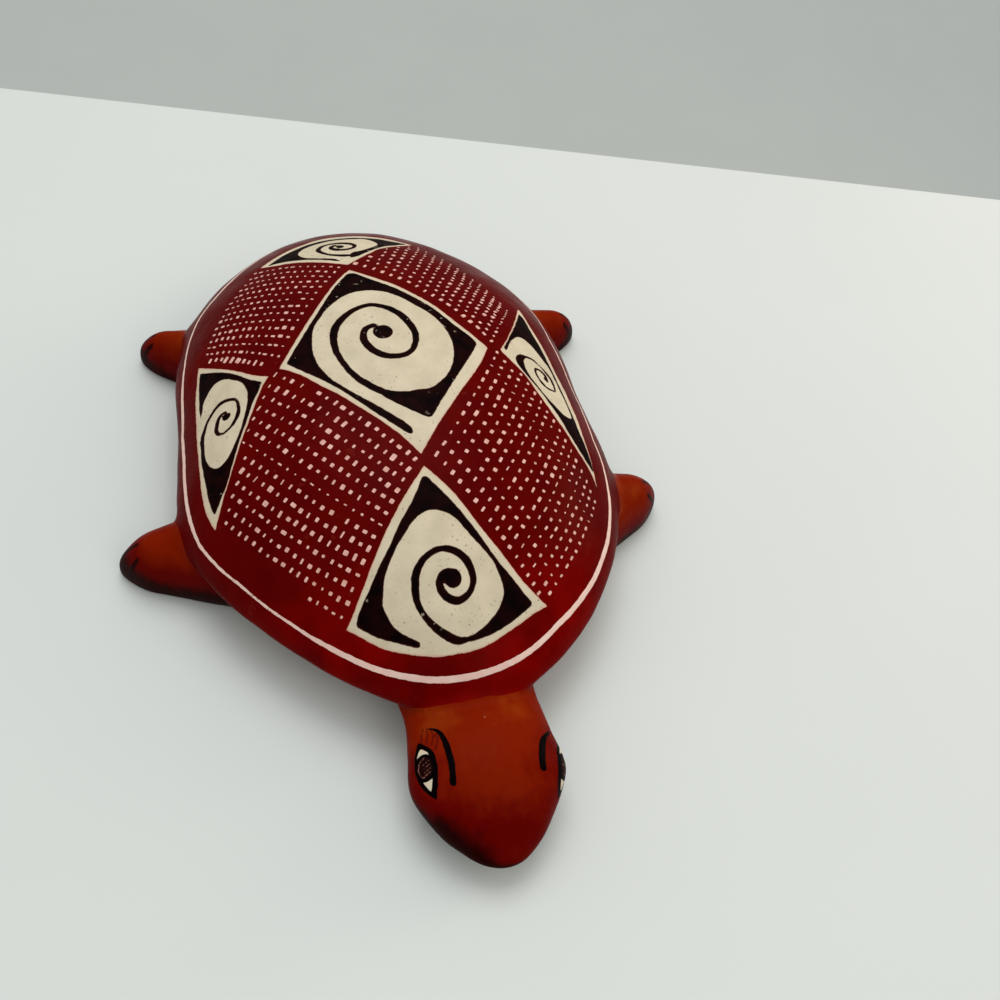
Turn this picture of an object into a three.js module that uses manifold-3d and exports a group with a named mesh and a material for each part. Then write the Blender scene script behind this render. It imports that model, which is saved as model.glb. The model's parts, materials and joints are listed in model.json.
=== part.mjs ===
// Pottery turtle rattle: a hollow lens-shaped body of fired clay in two luted halves, with a head,
// four feet and a tail luted on outside, and loose clay pellets inside that make the sound.
// Millimetres, +Z up, the head towards -Y, standing on the soles of its feet at Z = 0.
// Angles round the body are counted from the head, towards +X.

import * as THREE from 'three';
import { mergeVertices } from 'three/addons/utils/BufferGeometryUtils.js';
import Module from 'manifold-3d';

const wasm = await Module();
wasm.setup();

// Driving dimensions of the body

const BODY_LENGTH = 117.5;
// radius of the widest level every 30 degrees round the body, as shares of its length: a rounded hexagon
const RIM_SHARES = [0.5106, 0.4723, 0.4, 0.3447, 0.383, 0.4383, 0.4894, 0.4553, 0.3872, 0.3489, 0.3957, 0.434];
const RIM_HEIGHT = 12;
const DOME_RISE = 19.5;
const DOME_FLANK_POWER = 2.3;
const DOME_CROWN_POWER = 1.4;
const BELLY_DROP = 9;
const BELLY_FLANK_POWER = 2.8;
const BELLY_CROWN_POWER = 2;

// Driving dimensions of the hollow

const DOME_WALL = 4.5;
const BELLY_WALL = 4;
const HOLLOW_FLOOR_POWER = 6;
const HOLLOW_FLOOR_CUT = 0.5;
const SEAM_BELOW_RIM = 3;

// Where each limb meets the rim, the way it points, how far its tip stands out and how deep it roots

const HEAD_SEAT = { angle: 2.9, heading: 0, reach: 26.3, bury: 13.7 };
const TAIL_SEAT = { angle: 180, heading: 180, reach: 5, bury: 12 };
const FOOT_SEATS = {
  foot_front_right: { angle: 292.4, heading: 262.5, reach: 12.6, bury: 8.4 },
  foot_front_left: { angle: 64, heading: 102.8, reach: 11.7, bury: 7.8 },
  foot_rear_right: { angle: 227.6, heading: 244.1, reach: 12.2, bury: 7 },
  foot_rear_left: { angle: 127.8, heading: 102.5, reach: 12.7, bury: 7 },
};

// Sections of the head, spaced evenly from its root to the nose, with heights above the rim level

const HEAD_HALF_WIDTHS = [13, 12.2, 11.8, 12.5, 13.1, 10, 8];
const HEAD_TOPS = [-1, -0.2, 1, 3.2, 3.6, 1.2, -3];
const HEAD_BOTTOMS = [-7, -7.5, -8.5, -9.5, -10, -10, -9];
const HEAD_CAP_SHARE = 0.24;

// Sections of a foot and of the tail at the root and at the tip, with heights above the rim level

const FRONT_FOOT = { halfWidth: 9.8, tipHalfWidth: 3.4, top: 2.8, tipTop: -3.2, bottom: -18 };
const REAR_FOOT = { halfWidth: 6.8, tipHalfWidth: 2.9, top: 1.8, tipTop: -4.2, bottom: -18 };
const TAIL = { halfWidth: 5, tipHalfWidth: 2.6, top: 0.5, tipTop: -3.5, bottom: -8 };
const FOOT_CAP_SHARE = 0.34;

// Driving dimensions of the pellets

const PELLET_DIAMETER = 7.2;
const PELLET_LANE_GAP = 1.8;
const PELLET_REST_OFFSETS = [6, -9, 12, -3, 10, -12, -5];

// Clearances

const LUTING_GAP = 0.4;
const PELLET_FLOAT = 0.3;

// Mesh fineness

const ROUND_STEPS = 60;
const DOME_STEPS = 10;
const BELLY_STEPS = 6;
const LIMB_SIDES = 20;
const LIMB_STEPS = 8;
const CAP_STEPS = 4;
const FULL_TURN = 2 * Math.PI;
const TINY = 1e-9;

// The rim's radius in any direction: the smooth closed curve through the named shares
function rimRadius(angle) {
  const count = RIM_SHARES.length;
  const share = RIM_SHARES.reduce((sum, value, index) => {
    const offset = angle - (index * FULL_TURN) / count;
    const half = Math.sin(offset / 2);
    if (Math.abs(half) < TINY) return sum + value;
    const weight = (Math.sin((count * offset) / 2) * Math.cos(offset / 2)) / (count * half);
    return sum + value * weight;
  }, 0);
  return share * BODY_LENGTH;
}

// One level of a lens: the rim curve drawn in by `inset` and scaled by `share`, at height z
function lensLevel(share, z, inset) {
  return Array.from({ length: ROUND_STEPS }, (_, step) => {
    const angle = (step * FULL_TURN) / ROUND_STEPS;
    const radius = (rimRadius(angle) - inset) * share;
    return new THREE.Vector3(radius * Math.sin(angle), -radius * Math.cos(angle), z);
  });
}

// A closed lens round the rim level, with a rise above it and a drop below it
function lensGeometry({ inset, rise, drop, flankPower, floorPower }) {
  const levels = [];
  for (let step = 0; step <= BELLY_STEPS; step += 1) {
    const turn = (Math.PI / 2) * (step / BELLY_STEPS);
    const share = Math.sin(turn) ** (2 / floorPower);
    levels.push(lensLevel(share, RIM_HEIGHT - drop * Math.cos(turn) ** (2 / BELLY_CROWN_POWER), inset));
  }
  for (let step = DOME_STEPS - 1; step >= 0; step -= 1) {
    const turn = (Math.PI / 2) * (step / DOME_STEPS);
    const share = Math.sin(turn) ** (2 / flankPower);
    levels.push(lensLevel(share, RIM_HEIGHT + rise * Math.cos(turn) ** (2 / DOME_CROWN_POWER), inset));
  }
  return skinOf(levels);
}

// A closed skin over rings of equal length, the first and the last drawn together to a point.
// Seen from the last ring back to the first, the points run clockwise.
function skinOf(rings) {
  const inner = rings.slice(1, -1);
  const sides = inner[0].length;
  const points = [rings[0][0], ...inner.flat(), rings.at(-1)[0]];
  const last = points.length - 1;
  const index = [];
  for (let side = 0; side < sides; side += 1) {
    const next = (side + 1) % sides;
    index.push(0, 1 + next, 1 + side);
    for (let ring = 0; ring < inner.length - 1; ring += 1) {
      const low = 1 + ring * sides;
      const high = low + sides;
      index.push(low + side, low + next, high + next);
      index.push(low + side, high + next, high + side);
    }
    const top = 1 + (inner.length - 1) * sides;
    index.push(top + side, top + next, last);
  }
  const geometry = new THREE.BufferGeometry().setFromPoints(points);
  geometry.setIndex(index);
  return geometry;
}

// A geometry as a solid for joining and cutting
function solidOf(geometry) {
  const bare = geometry.clone();
  bare.deleteAttribute('normal');
  bare.deleteAttribute('uv');
  const merged = mergeVertices(bare, 1e-4);
  return new wasm.Manifold(new wasm.Mesh({
    numProp: 3,
    vertProperties: new Float32Array(merged.attributes.position.array),
    triVerts: new Uint32Array(merged.index.array),
  }));
}

// A named mesh from a solid
function meshOf(name, solid, material) {
  const cut = solid.getMesh();
  const geometry = new THREE.BufferGeometry();
  geometry.setAttribute('position', new THREE.BufferAttribute(cut.vertProperties, 3));
  geometry.setIndex(new THREE.BufferAttribute(cut.triVerts, 1));
  geometry.computeVertexNormals();
  const mesh = new THREE.Mesh(geometry, material);
  mesh.name = name;
  return mesh;
}

// A solid block, wider than the whole turtle, between two heights
function slab(low, high) {
  const reach = 4 * BODY_LENGTH;
  const block = new THREE.BoxGeometry(reach, reach, high - low);
  block.translate(0, 0, (low + high) / 2);
  return solidOf(block);
}

// A value between evenly spaced ones, on the smooth curve through them
function between(values, share) {
  const place = share * (values.length - 1);
  const index = Math.min(Math.floor(place), values.length - 2);
  const t = place - index;
  const p0 = values[Math.max(index - 1, 0)];
  const p1 = values[index];
  const p2 = values[index + 1];
  const p3 = values[Math.min(index + 2, values.length - 1)];
  const bend = 2 * p0 - 5 * p1 + 4 * p2 - p3;
  return p1 + 0.5 * t * (p2 - p0 + t * (bend + t * (3 * (p1 - p2) + p3 - p0)));
}

// A direction on the plan, at an angle round from the head
function bearing(degrees) {
  const angle = THREE.MathUtils.degToRad(degrees);
  return new THREE.Vector2(Math.sin(angle), -Math.cos(angle));
}

// A limb: oval sections along a level line from its buried root to its rounded tip.
// `section(share)` gives halfWidth, top and bottom at a share of the length.
function limbGeometry({ angle, heading, reach, bury }, capShare, section) {
  const seat = bearing(angle).multiplyScalar(rimRadius(THREE.MathUtils.degToRad(angle)));
  const root = seat.clone().addScaledVector(bearing(heading), -bury);
  const along = bearing(heading).multiplyScalar(bury + reach);
  const across = new THREE.Vector2(-along.y, along.x).normalize();
  const shares = [{ share: 0, draw: 0 }];
  for (let step = 0; step < LIMB_STEPS; step += 1) {
    shares.push({ share: (1 - capShare) * (step / LIMB_STEPS), draw: 1 });
  }
  for (let step = 0; step <= CAP_STEPS; step += 1) {
    const turn = (Math.PI / 2) * (step / CAP_STEPS);
    shares.push({ share: 1 - capShare * (1 - Math.sin(turn)), draw: Math.cos(turn) });
  }
  const rings = shares.map(({ share, draw }) => {
    const { halfWidth, top, bottom } = section(share);
    const centre = new THREE.Vector2().copy(root).addScaledVector(along, share);
    const middle = RIM_HEIGHT + (top + bottom) / 2;
    return Array.from({ length: LIMB_SIDES }, (_, side) => {
      const turn = (side * FULL_TURN) / LIMB_SIDES;
      const width = halfWidth * draw * Math.cos(turn);
      const height = ((top - bottom) / 2) * draw * Math.sin(turn);
      return new THREE.Vector3(centre.x + across.x * width, centre.y + across.y * width, middle + height);
    });
  });
  return skinOf(rings);
}

const outerLens = {
  inset: 0,
  rise: DOME_RISE,
  drop: BELLY_DROP,
  flankPower: DOME_FLANK_POWER,
  floorPower: BELLY_FLANK_POWER,
};
const hollowLens = {
  inset: DOME_WALL,
  rise: DOME_RISE - DOME_WALL,
  drop: BELLY_DROP - BELLY_WALL + HOLLOW_FLOOR_CUT,
  flankPower: DOME_FLANK_POWER,
  floorPower: HOLLOW_FLOOR_POWER,
};
const socketLens = {
  inset: -LUTING_GAP,
  rise: DOME_RISE + LUTING_GAP,
  drop: BELLY_DROP + LUTING_GAP,
  flankPower: DOME_FLANK_POWER,
  floorPower: BELLY_FLANK_POWER,
};

const deep = -4 * BELLY_DROP;
const high = 2 * (RIM_HEIGHT + DOME_RISE);
const seamHeight = RIM_HEIGHT - SEAM_BELOW_RIM;
const floorHeight = RIM_HEIGHT - BELLY_DROP + BELLY_WALL;
const body = solidOf(lensGeometry(outerLens));
const hollow = solidOf(lensGeometry(hollowLens)).subtract(slab(deep, floorHeight));
const socket = solidOf(lensGeometry(socketLens));
const underTable = slab(deep, 0);

// The domed top half, open below
function carapaceSolid() {
  return body.subtract(hollow).subtract(slab(deep, seamHeight + LUTING_GAP / 2));
}

// The shallow bottom half, a dish with a level floor
function plastronSolid() {
  return body.subtract(hollow).subtract(slab(seamHeight - LUTING_GAP / 2, high));
}

// The head with its neck, cut to sit on the body
function headSolid() {
  const head = limbGeometry(HEAD_SEAT, HEAD_CAP_SHARE, (share) => ({
    halfWidth: between(HEAD_HALF_WIDTHS, share),
    top: between(HEAD_TOPS, share),
    bottom: between(HEAD_BOTTOMS, share),
  }));
  return solidOf(head).subtract(socket);
}

// A foot or the tail: straight sides from root to tip, cut to sit on the body and on the table
function limbSolid(seat, size) {
  const limb = limbGeometry(seat, FOOT_CAP_SHARE, (share) => ({
    halfWidth: THREE.MathUtils.lerp(size.halfWidth, size.tipHalfWidth, share),
    top: THREE.MathUtils.lerp(size.top, size.tipTop, share),
    bottom: size.bottom,
  }));
  return solidOf(limb).subtract(socket).subtract(underTable);
}

// One loose pellet, just clear of the hollow's floor, in its own lane across the body
function pelletMesh(index, material) {
  const geometry = new THREE.SphereGeometry(PELLET_DIAMETER / 2, 12, 8);
  const mesh = new THREE.Mesh(geometry, material);
  const middle = (PELLET_REST_OFFSETS.length - 1) / 2;
  mesh.name = `pellet_${index + 1}`;
  mesh.position.set(
    PELLET_REST_OFFSETS[index],
    (index - middle) * (PELLET_DIAMETER + PELLET_LANE_GAP),
    floorHeight + PELLET_FLOAT + PELLET_DIAMETER / 2,
  );
  return mesh;
}

const redSlip = new THREE.MeshStandardMaterial({ color: 0x57100c, roughness: 0.34, metalness: 0 });
const burnishedClay = new THREE.MeshStandardMaterial({ color: 0x7e2a0c, roughness: 0.42, metalness: 0 });
const rawClay = new THREE.MeshStandardMaterial({ color: 0x9c5a3a, roughness: 0.85, metalness: 0 });

const turtle = new THREE.Group();
turtle.add(meshOf('carapace', carapaceSolid(), redSlip));
turtle.add(meshOf('plastron', plastronSolid(), redSlip));
turtle.add(meshOf('head', headSolid(), burnishedClay));
Object.entries(FOOT_SEATS).forEach(([name, seat]) => {
  const size = name.includes('front') ? FRONT_FOOT : REAR_FOOT;
  turtle.add(meshOf(name, limbSolid(seat, size), burnishedClay));
});
turtle.add(meshOf('tail', limbSolid(TAIL_SEAT, TAIL), burnishedClay));
PELLET_REST_OFFSETS.forEach((_, index) => turtle.add(pelletMesh(index, rawClay)));

// The origin is on the table, under the middle of the whole turtle
const extent = new THREE.Box3().setFromObject(turtle);
const centre = extent.getCenter(new THREE.Vector3());
turtle.position.set(-centre.x, -centre.y, 0);
turtle.updateMatrixWorld(true);

export default turtle;
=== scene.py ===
"""Pottery turtle rattle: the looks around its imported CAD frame.

A hollow lens of fired clay with a head, four feet and a tail luted on and loose
pellets inside. The body is one hand-smoothed skin, cut into the frame's pieces;
the painted ornament lies on it as distances that the slips read.
All shapes are worked out in millimetres from the middle of the shell's plan
(+Z up, head towards -Y) and turned to metres in the frame where they are made.
"""
import json  # noqa: E402
import logging  # noqa: E402
import math  # noqa: E402
from dataclasses import dataclass, field  # noqa: E402
from enum import Enum  # noqa: E402
from typing import Callable  # noqa: E402

import bpy  # noqa: E402
import numpy as np  # noqa: E402
from mathutils import Matrix, Vector  # noqa: E402

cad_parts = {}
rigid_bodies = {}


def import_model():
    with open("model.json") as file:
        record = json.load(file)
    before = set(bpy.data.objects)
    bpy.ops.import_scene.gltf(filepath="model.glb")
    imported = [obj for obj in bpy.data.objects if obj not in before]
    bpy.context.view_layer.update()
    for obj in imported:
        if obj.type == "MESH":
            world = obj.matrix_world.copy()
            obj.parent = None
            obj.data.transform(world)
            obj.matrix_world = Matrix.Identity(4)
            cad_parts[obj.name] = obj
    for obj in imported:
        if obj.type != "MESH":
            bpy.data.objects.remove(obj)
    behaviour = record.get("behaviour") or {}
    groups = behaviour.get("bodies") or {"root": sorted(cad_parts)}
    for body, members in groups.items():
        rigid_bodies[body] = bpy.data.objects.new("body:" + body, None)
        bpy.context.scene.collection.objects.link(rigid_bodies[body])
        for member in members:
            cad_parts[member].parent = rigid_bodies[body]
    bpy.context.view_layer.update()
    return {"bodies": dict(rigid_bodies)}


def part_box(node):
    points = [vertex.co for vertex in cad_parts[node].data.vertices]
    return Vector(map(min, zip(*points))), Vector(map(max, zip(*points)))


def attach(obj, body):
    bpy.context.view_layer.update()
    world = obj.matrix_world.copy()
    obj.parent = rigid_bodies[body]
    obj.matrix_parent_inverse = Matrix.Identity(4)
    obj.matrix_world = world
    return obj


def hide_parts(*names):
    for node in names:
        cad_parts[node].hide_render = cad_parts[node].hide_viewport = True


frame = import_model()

log = logging.getLogger("turtle")

MM = 0.001
SHELL_MIDDLE = np.array([0.798, 12.001, 0.0])
# What a limb's field reads where the limb is too far away to matter, in mm.
FAR = 60.0
# What a painted distance reads where there is none of that paint, in mm.
UNPAINTED = -9.0
# The least upward part of the skin's normal where the dome is painted.
FACES_UP = 0.05
Outline = tuple[tuple[float, float], ...]
Field = Callable[[np.ndarray], np.ndarray]
Socket = bpy.types.NodeSocket


class Tone(Enum):
    """Colours of the clay, the slips and the studio, as sRGB hex."""

    RED_SLIP = 0x600301
    # Painted light: the lighter red towards the head, standing in for more light on the front band.
    RED_SLIP_PAINTED_LIGHT = 0x7C0301
    RED_SLIP_DEEP = 0x4E0000
    RED_SLIP_WORN = 0x7C2218
    CREAM_SLIP = 0xDED1B6
    CREAM_THIN = 0xBCB095
    CREAM_EDGE = 0xDDB49C
    PIT_GREY = 0x5C4C40
    BLACK_PAINT = 0x070203
    BLACK_THIN = 0x330C06
    PINK_SLIP = 0xF2C0B2
    RING_SLIP = 0xFADACC
    PINK_THIN = 0xC98A7C
    CLAY_GOLD = 0x94380A
    CLAY_ORANGE = 0x7E1A01
    CLAY_RED = 0x660401
    CLAY_DARK = 0x1E0201
    IRIS_BROWN = 0x1E0705
    LASH_RED = 0x500604
    RAW_CLAY = 0x9C5A3A
    RAW_CLAY_PALE = 0xB27A58
    TABLE = 0xDFE4E1
    GROUND = 0xBCC1BE
    SHADE_GREY = 0xCDD2CF


def linear(tone: Tone) -> tuple[float, float, float, float]:
    """Turn a tone's sRGB hex value into linear colour.

    Args:
        tone: The tone.

    Returns:
        Red, green, blue and alpha, each from 0 to 1.
    """
    parts = [((tone.value >> shift) & 255) / 255 for shift in (16, 8, 0)]
    curve = [c / 12.92 if c <= 0.04045 else ((c + 0.055) / 1.055) ** 2.4 for c in parts]
    return (curve[0], curve[1], curve[2], 1.0)


def per_mm(size: float) -> float:
    """Scale of a texture on Object coordinates whose features are `size` mm across."""
    return 1 / (size * MM)


# ---------------------------------------------------------------- curves


def smooth_run(values: tuple[float, ...], share: np.ndarray) -> np.ndarray:
    """Value between evenly spaced ones, on the smooth curve through them.

    Args:
        values: The values, two or more; two give a straight run.
        share: Places along the run, from 0 to 1.

    Returns:
        The value at each place.
    """
    share = np.clip(share, 0, 1)
    if len(values) == 2:
        return values[0] + (values[1] - values[0]) * share
    run = np.array(values, float)
    place = share * (len(run) - 1)
    index = np.minimum(place.astype(int), len(run) - 2)
    t = place - index
    p0, p1 = run[np.maximum(index - 1, 0)], run[index]
    p2, p3 = run[index + 1], run[np.minimum(index + 2, len(run) - 1)]
    bend = 2 * p0 - 5 * p1 + 4 * p2 - p3
    return p1 + 0.5 * t * (p2 - p0 + t * (bend + t * (3 * (p1 - p2) + p3 - p0)))


def eased(value: np.ndarray, start: float, end: float) -> np.ndarray:
    """A value taken from one range to 0..1, with soft ends."""
    share = np.clip((value - start) / (end - start), 0, 1)
    return share * share * (3 - 2 * share)


def drawn_curve(points: Outline, closed: bool, corners: tuple[int, ...] = (), steps: int = 5) -> np.ndarray:
    """A brush line through points, smooth but for its named corners.

    Args:
        points: The points that the line goes through.
        closed: Whether it comes back to its first point.
        corners: Indices of the points where it turns sharply.
        steps: Straight pieces from each point to the next.

    Returns:
        The points of the fine line, in order.
    """
    p = np.array(points, float)
    count = len(p)
    t = np.arange(steps)[:, None] / steps
    line = []
    for i in range(count if closed else count - 1):
        j = (i + 1) % count
        before = i if i in corners or (not closed and i == 0) else i - 1
        after = j if j in corners or (not closed and j == count - 1) else (j + 1) % count
        a, b = (p[j] - p[before]) / 2, (p[after] - p[i]) / 2
        start, end = 2 * t**3 - 3 * t**2 + 1, 3 * t**2 - 2 * t**3
        line.append(start * p[i] + (t**3 - 2 * t**2 + t) * a + end * p[j] + (t**3 - t**2) * b)
    return np.vstack(line if closed else [*line, p[-1:]])


def line_distance(at: np.ndarray, line: np.ndarray, closed: bool) -> tuple[np.ndarray, np.ndarray]:
    """Distance from points to a line on the plan, and where along it they are nearest.

    Args:
        at: Points, one per row.
        line: The line's points.
        closed: Whether the last point joins the first.

    Returns:
        The distances, and the nearest places as shares of the line's length.
    """
    ends = np.roll(line, -1, axis=0) if closed else line[1:]
    starts = line if closed else line[:-1]
    lengths = np.linalg.norm(ends - starts, axis=1)
    before = np.concatenate([[0], np.cumsum(lengths)])
    best = np.full(len(at), np.inf)
    place = np.zeros(len(at))
    for a, b, size, done in zip(starts, ends, lengths, before):
        t = np.clip((at - a) @ (b - a) / size**2, 0, 1)
        gap = np.hypot(*(at - a - t[:, None] * (b - a)).T)
        near = gap < best
        best = np.where(near, gap, best)
        place = np.where(near, (done + t * size) / before[-1], place)
    return best, place


def area_distance(at: np.ndarray, line: np.ndarray) -> np.ndarray:
    """Distance to a closed outline, above zero inside it.

    Args:
        at: Points, one per row.
        line: The outline's points.

    Returns:
        The signed distances.
    """
    gap, _ = line_distance(at, line, True)
    inside = np.zeros(len(at), bool)
    x, y = at.T
    for (ax, ay), (bx, by) in zip(line, np.roll(line, -1, axis=0)):
        if ay != by:
            crosses = (ay > y) != (by > y)
            inside ^= crosses & (x < (bx - ax) * (y - ay) / (by - ay) + ax)
    return np.where(inside, gap, -gap)


# ---------------------------------------------------------------- the form of the body


@dataclass(frozen=True)
class ShellForm:
    """The lens-shaped body of two luted halves, as in the CAD source."""

    length: float = 117.5
    rim_shares: tuple[float, ...] = (
        0.5106, 0.4723, 0.4, 0.3447, 0.383, 0.4383, 0.4894, 0.4553, 0.3872, 0.3489, 0.3957, 0.434,
    )
    rim_height: float = 12.0
    dome_rise: float = 19.5
    dome_flank: float = 2.3
    dome_crown: float = 1.4
    belly_drop: float = 9.0
    belly_flank: float = 2.8
    belly_crown: float = 2.0
    wall: float = 4.5
    hollow_drop: float = 5.5
    hollow_floor_power: float = 6.0
    seam_height: float = 9.0
    floor_height: float = 7.0
    rim_steps: int = 1440

    def rim_table(self) -> tuple[np.ndarray, np.ndarray]:
        """Angles and rim radii of a fine turn round the body, counted from the head towards +X."""
        angles = np.linspace(0, 2 * np.pi, self.rim_steps + 1)
        coefficients = np.fft.rfft(np.array(self.rim_shares) * self.length) / len(self.rim_shares)
        radii = np.full(angles.shape, coefficients[0].real)
        for k in range(1, 6):
            wave = coefficients[k]
            radii += 2 * (wave.real * np.cos(k * angles) - wave.imag * np.sin(k * angles))
        return angles, radii + coefficients[6].real * np.cos(6 * angles)

    def polar(self, points: np.ndarray) -> tuple[np.ndarray, np.ndarray, np.ndarray]:
        """Angle round the body, share of the rim's radius, and that radius, at each point."""
        angle = np.arctan2(points[:, 0], -points[:, 1]) % (2 * np.pi)
        radius = np.interp(angle, *self.rim_table())
        return angle, np.hypot(points[:, 0], points[:, 1]) / radius, radius

    def reach(self, points: np.ndarray) -> np.ndarray:
        """Rough distance outside the lens, in mm, exactly zero on it."""
        _, share, radius = self.polar(points)
        rise = points[:, 2] - self.rim_height
        above = share**self.dome_flank + np.abs(rise / self.dome_rise) ** self.dome_crown
        below = share**self.belly_flank + np.abs(rise / self.belly_drop) ** self.belly_crown
        level = np.where(rise > 0, above, below) - 1
        return level * radius / np.where(rise > 0, self.dome_flank, self.belly_flank)

    def dome_height(self, plan: np.ndarray) -> np.ndarray:
        """Height of the dome over points of the plan."""
        _, share, _ = self.polar(plan)
        crown = np.maximum(1 - np.minimum(share, 1) ** self.dome_flank, 0) ** (1 / self.dome_crown)
        return self.rim_height + self.dome_rise * crown

    def hollow_levels(self, upper: bool) -> list[tuple[float, float]]:
        """Levels of the hollow from the seam to its middle.

        Args:
            upper: Whether they climb the dome or go down to the level floor.

        Returns:
            Pairs of the share of the hollow's radius and the height.
        """
        def belly(height: float) -> float:
            """The share of the hollow's radius at a height below the rim."""
            drop = (self.rim_height - height) / self.hollow_drop
            return (1 - drop**2) ** (1 / self.hollow_floor_power)

        if not upper:
            floor = self.floor_height
            side = [(belly(z), z) for z in (self.seam_height, 8.4, 7.8, 7.3, floor)]
            return side + [(belly(floor) * share, floor) for share in (0.75, 0.5, 0.25)]
        levels = [(belly(z), z) for z in (self.seam_height, 10.0, 11.0)] + [(1.0, self.rim_height)]
        for share in np.arange(9, 0, -1) / 10:
            turn = math.pi / 2 * share
            rise = (self.dome_rise - self.wall) * math.cos(turn) ** (2 / self.dome_crown)
            levels.append((math.sin(turn) ** (2 / self.dome_flank), self.rim_height + rise))
        return levels

    def hollow_top(self, upper: bool) -> float:
        """Height of the middle of the hollow's ceiling, or of its floor."""
        return self.rim_height + self.dome_rise - self.wall if upper else self.floor_height


@dataclass(frozen=True)
class Limb:
    """A head, foot or tail: oval sections along a level line from its buried root to its tip.

    Its angle round the body and its heading are in degrees, both 0 at the head, and its
    sections' heights are in mm from the rim.
    """

    name: str
    angle: float
    heading: float
    reach: float
    bury: float
    half_widths: tuple[float, ...]
    tops: tuple[float, ...]
    bottoms: tuple[float, ...]
    cap_share: float

    def placed(self, form: ShellForm, points: np.ndarray) -> tuple[np.ndarray, np.ndarray]:
        """Share along the limb and mm across it, at each point.

        Args:
            form: The body that carries the limb.
            points: Points, one per row.

        Returns:
            The shares, 0 at the root and 1 at the tip, and the distances to its left.
        """
        turn, aim = math.radians(self.angle), math.radians(self.heading)
        radius = float(np.interp(turn % (2 * math.pi), *form.rim_table()))
        seat = radius * np.array([math.sin(turn), -math.cos(turn)])
        along = np.array([math.sin(aim), -math.cos(aim)])
        away = points[:, :2] - (seat - along * self.bury)
        return away @ along / (self.bury + self.reach), away @ np.array([-along[1], along[0]])

    def reach_of(self, form: ShellForm, points: np.ndarray) -> np.ndarray:
        """Rough distance outside the limb, in mm, exactly zero on it."""
        share, across = self.placed(form, points)
        rough = np.full(len(points), FAR)
        # Past these bounds the limb is too far away to matter to the field's zero level.
        near = (share > -0.35) & (share < 1.4) & (np.abs(across) < 2.2 * max(self.half_widths))
        share, across, height = share[near], across[near], points[near, 2] - form.rim_height
        width = smooth_run(self.half_widths, share)
        top, bottom = smooth_run(self.tops, share), smooth_run(self.bottoms, share)
        middle, half = (top + bottom) / 2, (top - bottom) / 2
        cap = np.maximum((share - 1 + self.cap_share) / self.cap_share, -share / self.cap_share)
        oval = (across / width) ** 2 + ((height - middle) / half) ** 2 + np.maximum(cap, 0) ** 2
        rough[near] = (np.sqrt(oval) - 1) * np.minimum(width, half)
        return rough


FRONT_FOOT = {"half_widths": (9.8, 3.4), "tops": (2.8, -3.2), "bottoms": (-18.0, -18.0), "cap_share": 0.34}
REAR_FOOT = {"half_widths": (6.8, 2.9), "tops": (1.8, -4.2), "bottoms": (-18.0, -18.0), "cap_share": 0.34}
HEAD = Limb(
    "head", 2.9, 0, 26.3, 13.7, (13, 12.2, 11.8, 12.5, 13.1, 10, 8),
    (-1, -0.2, 1, 3.2, 3.6, 1.2, -3), (-7, -7.5, -8.5, -9.5, -10, -10, -9), 0.24,
)
LIMBS = (
    HEAD,
    Limb("foot_front_right", 292.4, 262.5, 12.6, 8.4, **FRONT_FOOT),
    Limb("foot_front_left", 64, 102.8, 11.7, 7.8, **FRONT_FOOT),
    Limb("foot_rear_right", 227.6, 244.1, 12.2, 7, **REAR_FOOT),
    Limb("foot_rear_left", 127.8, 102.5, 12.7, 7, **REAR_FOOT),
    Limb("tail", 180, 180, 5, 12, (5, 2.6), (0.5, -3.5), (-8, -8), 0.34),
)


def soft_least(a: np.ndarray, b: np.ndarray, blend: float) -> np.ndarray:
    """The lesser of two fields, rounded where they meet, over `blend` mm."""
    ease = np.maximum(blend - np.abs(a - b), 0) / blend
    return np.minimum(a, b) - ease * ease * blend / 4


@dataclass(frozen=True)
class ClayField:
    """The whole body as one field: below zero in the clay, zero on its skin."""

    form: ShellForm = ShellForm()
    limbs: tuple[Limb, ...] = LIMBS
    luting_blend: float = 2.2
    sole_blend: float = 1.0
    hand_lumps: float = 0.13
    flattest: float = 1e-4

    def parts(self, points: np.ndarray) -> list[np.ndarray]:
        """Rough distances to the lens and to each limb, in that order."""
        return [self.form.reach(points)] + [limb.reach_of(self.form, points) for limb in self.limbs]

    def lumps(self, points: np.ndarray) -> np.ndarray:
        """The slow unevenness that palms and a pebble leave, from -1 to 1."""
        x, y, z = points.T
        return (
            np.sin(0.29 * x + 0.17 * y + 0.4) * np.cos(0.23 * y - 0.31 * z)
            + 0.6 * np.sin(0.47 * y - 0.38 * x + 1.9)
            + 0.4 * np.sin(0.83 * x + 0.61 * z) * np.sin(0.71 * y + 2.2)
        ) / 2

    def __call__(self, points: np.ndarray) -> np.ndarray:
        """The field's value at each point, in rough mm."""
        parts = self.parts(points)
        value = parts[0]
        for limb in parts[1:]:
            value = soft_least(value, limb, self.luting_blend)
        value = value + self.hand_lumps * self.lumps(points)
        return -soft_least(-value, points[:, 2], self.sole_blend)

    def normal(self, points: np.ndarray) -> np.ndarray:
        """The way out of the clay at each point, one long."""
        slope = slope_of(self, points)
        return slope / np.linalg.norm(slope, axis=1, keepdims=True)

    def settle(self, points: np.ndarray, rounds: int = 3) -> np.ndarray:
        """Points moved straight onto the skin."""
        for _ in range(rounds):
            slope = slope_of(self, points)
            squared = np.maximum((slope**2).sum(1), self.flattest)
            points = points - np.clip(self(points) / squared, -1, 1)[:, None] * slope
        return points


def slope_of(values: Field, points: np.ndarray, step: float = 0.03) -> np.ndarray:
    """Gradient of a field, by central differences.

    Args:
        values: The field.
        points: Points, one per row.
        step: Half the distance between the two samples, in mm.

    Returns:
        One gradient per row.
    """
    steps = np.eye(3) * step
    return np.stack([(values(points + way) - values(points - way)) / (2 * step) for way in steps], 1)


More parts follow.
